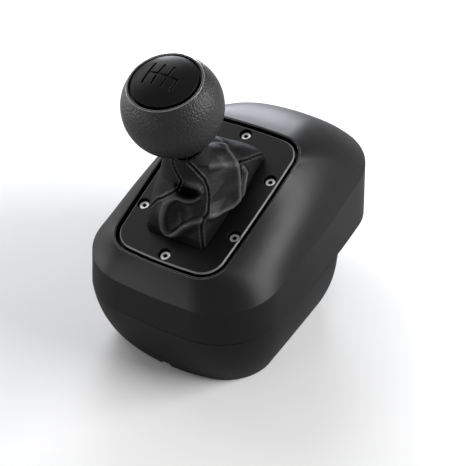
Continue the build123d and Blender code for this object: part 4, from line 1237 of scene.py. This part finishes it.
@dataclass(frozen=True)
class Coil:
    """A wound wire spring between two points of the lever's axes, in millimetres."""

    name: str
    start: Triple
    end: Triple
    radius: float
    wire: float
    turns: float
    bodies: tuple[Body, ...]
    replaced: str | None = None
    steps: int = 28
    sides: int = 10

    def wind(self) -> bmesh.types.BMesh:
        """Wind the wire round the line between the spring's ends.

        Returns:
            The spring's mesh.
        """
        way = Vector(self.end) - Vector(self.start)
        bm = bmesh.new()
        thin = self.wire / 2.0
        stand = Matrix.Translation((self.radius - thin, 0.0, thin))
        stand = stand @ Matrix.Rotation(math.pi / 2.0, 4, "X")
        ring = bmesh.ops.create_circle(bm, segments=self.sides, radius=thin, matrix=stand)["verts"]
        steps = round(self.turns * self.steps)
        bmesh.ops.spin(
            bm,
            geom=[*ring, *bm.edges],
            cent=(0.0, 0.0, 0.0),
            axis=(0.0, 0.0, 1.0),
            dvec=(0.0, 0.0, (way.length - self.wire) / steps),
            angle=self.turns * 2.0 * math.pi,
            steps=steps,
            use_merge=False,
        )
        open_edges = [edge for edge in bm.edges if edge.is_boundary]
        bmesh.ops.holes_fill(bm, edges=open_edges, sides=self.sides)
        turned = way.to_track_quat("Z", "Y").to_matrix().to_4x4()
        place = Matrix.Diagonal((MM, MM, MM, 1.0)) @ Matrix.Translation(self.start) @ turned
        bmesh.ops.transform(bm, matrix=LEVER_AXIS.matrix() @ place, verts=bm.verts)
        bmesh.ops.recalc_face_normals(bm, faces=bm.faces)
        for face in bm.faces:
            face.smooth = len(face.verts) == 4
        return bm

    def build(self, wardrobe: Wardrobe) -> None:
        """Make the spring and let its ends follow the parts that it stands between.

        Args:
            wardrobe: the finishes.
        """
        bm = self.wind()
        mesh = bpy.data.meshes.new(self.name)
        bm.to_mesh(mesh)
        bm.free()
        mesh.materials.append(wardrobe.get("spring_steel"))
        piece = add_object(self.name, mesh)
        if len(self.bodies) == 2:
            ends = LEVER_AXIS.point(*self.start), LEVER_AXIS.point(*self.end)
            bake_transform(piece, self.bodies[0].value, self.bodies[1].value, *ends)
        else:
            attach(piece, self.bodies[0].value)
        if self.replaced:
            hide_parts(self.replaced)
        LOG.info("%s: %d faces", self.name, len(mesh.polygons))


COILS = (
    Coil(
        "push_coil", (0.0, 0.0, 86.1), (0.0, 0.0, 99.9), 6.3, 1.2, 5.5,
        (Body.LEVER, Body.ROD), "push_spring",
    ),
    Coil(
        "centring_coil_left", (-14.9, 0.0, 14.5), (-7.0, 0.0, 14.5), 2.6, 0.7, 6.5,
        (Body.YOKE, Body.LEVER), "centring_springs",
    ),
    Coil(
        "centring_coil_right", (14.9, 0.0, 14.5), (7.0, 0.0, 14.5), 2.6, 0.7, 6.5,
        (Body.YOKE, Body.LEVER),
    ),
    Coil(
        "detent_coil", (-21.3, 0.0, -31.9), (-21.3, 0.0, -24.3), 1.95, 0.55, 6.5,
        (Body.HOUSING,), "detent_spring",
    ),
)


@dataclass(frozen=True)
class SoftBox:
    """A rectangular lamp that faces the object, turned from the front and raised from the floor."""

    name: str
    turn: float
    rise: float
    distance: float
    width: float
    height: float
    radiance: float
    colour: Colour = (1.0, 1.0, 1.0)
    target: Triple = (0.0, 0.0, 0.07)

    def build(self) -> None:
        """Hang the lamp."""
        data = bpy.data.lights.new(self.name, "AREA")
        data.shape = "RECTANGLE"
        data.size = self.width
        data.size_y = self.height
        data.energy = self.radiance * math.pi * self.width * self.height
        data.color = self.colour
        turned = Euler((math.radians(-self.rise), 0.0, math.radians(self.turn))).to_matrix()
        way = turned @ Vector((0.0, -1.0, 0.0))
        lamp = add_object(self.name, data)
        lamp.location = Vector(self.target) + way * self.distance
        lamp.rotation_euler = way.to_track_quat("Z", "Y").to_euler()
        lamp.visible_camera = False
        LOG.info("lamp %s: %.1f W", self.name, data.energy)


@dataclass(frozen=True)
class Studio:
    """Camera, floor, lamps and world."""

    camera_place: Triple = (0.2612, -0.4381, 0.4333)
    camera_turn: Triple = (52.84, 0.0, 31.07)
    lens: float = 80.0
    sensor_width: float = 36.0
    clip_start: float = 0.01
    floor_radius: float = 0.8
    floor_segments: int = 96
    floor_colour: Colour = (0.9, 0.9, 0.9)
    ambient: float = 0.15
    lamps: tuple[SoftBox, ...] = (
        SoftBox("left", -118.0, 38.0, 1.1, 1.0, 0.7, 3.2),
        SoftBox("right", 109.0, 23.0, 1.0, 0.84, 0.28, 20.0),
        SoftBox("rear", -148.0, 10.0, 1.1, 0.52, 0.32, 24.0, (0.88, 0.9, 1.0)),
        SoftBox("front", -30.0, 4.0, 1.0, 0.6, 0.12, 12.0),
        SoftBox("side", -80.0, 5.0, 1.1, 0.9, 0.16, 15.0),
    )

    def build(self) -> None:
        """Make the whole studio."""
        self.make_camera()
        self.make_floor()
        self.make_world()
        for lamp in self.lamps:
            lamp.build()

    def make_camera(self) -> None:
        """Place the camera at the photograph's viewing angle."""
        data = bpy.data.cameras.new("camera")
        data.lens = self.lens
        data.sensor_width = self.sensor_width
        data.clip_start = self.clip_start
        camera = add_object("camera", data)
        camera.location = self.camera_place
        camera.rotation_euler = Euler([math.radians(angle) for angle in self.camera_turn])
        bpy.context.scene.camera = camera

    def make_floor(self) -> None:
        """Lay a pale floor that stays white for the camera and keeps the shadow."""
        bm = bmesh.new()
        bmesh.ops.create_circle(
            bm, cap_ends=True, segments=self.floor_segments, radius=self.floor_radius
        )
        mesh = bpy.data.meshes.new("floor")
        bm.to_mesh(mesh)
        bm.free()
        floor = add_object("floor", mesh)
        graph = Graph(bpy.data.materials.new("floor"))
        colour = (*self.floor_colour, 1.0)
        graph.close(graph.node("ShaderNodeBsdfDiffuse", inputs={"Color": colour}))
        mesh.materials.append(graph.owner)

    def make_world(self) -> None:
        """Light the object with a plain grey world that the camera and reflections see as white."""
        graph = Graph(bpy.data.worlds.new("studio"))
        bpy.context.scene.world = graph.owner
        seen, glossy, passing = (
            graph.node("ShaderNodeLightPath", output=ray)
            for ray in ("Is Camera Ray", "Is Glossy Ray", "Is Transmission Ray")
        )
        share = seen.math("MAXIMUM", glossy).math("MAXIMUM", passing)
        ambient = graph.node("ShaderNodeBackground", inputs={"Strength": self.ambient})
        backdrop = graph.node("ShaderNodeBackground", inputs={"Color": WHITE})
        mixed = graph.node("ShaderNodeMixShader", inputs={0: share, 1: ambient, 2: backdrop})
        graph.close(mixed, "ShaderNodeOutputWorld")
        bpy.context.scene.view_settings.view_transform = "Standard"


def main() -> None:
    """Dress every piece and build the studio, in order."""
    logging.basicConfig(level=logging.INFO, format="%(name)s: %(message)s")
    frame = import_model()
    wardrobe = Wardrobe()
    wardrobe.dress_nodes(frame)
    LOG.info("dressed %d solids", len(frame["nodes"]))
    Boot().build(wardrobe)
    for coil in COILS:
        coil.build(wardrobe)
    Studio().build()


if __name__ == "__main__":
    main()
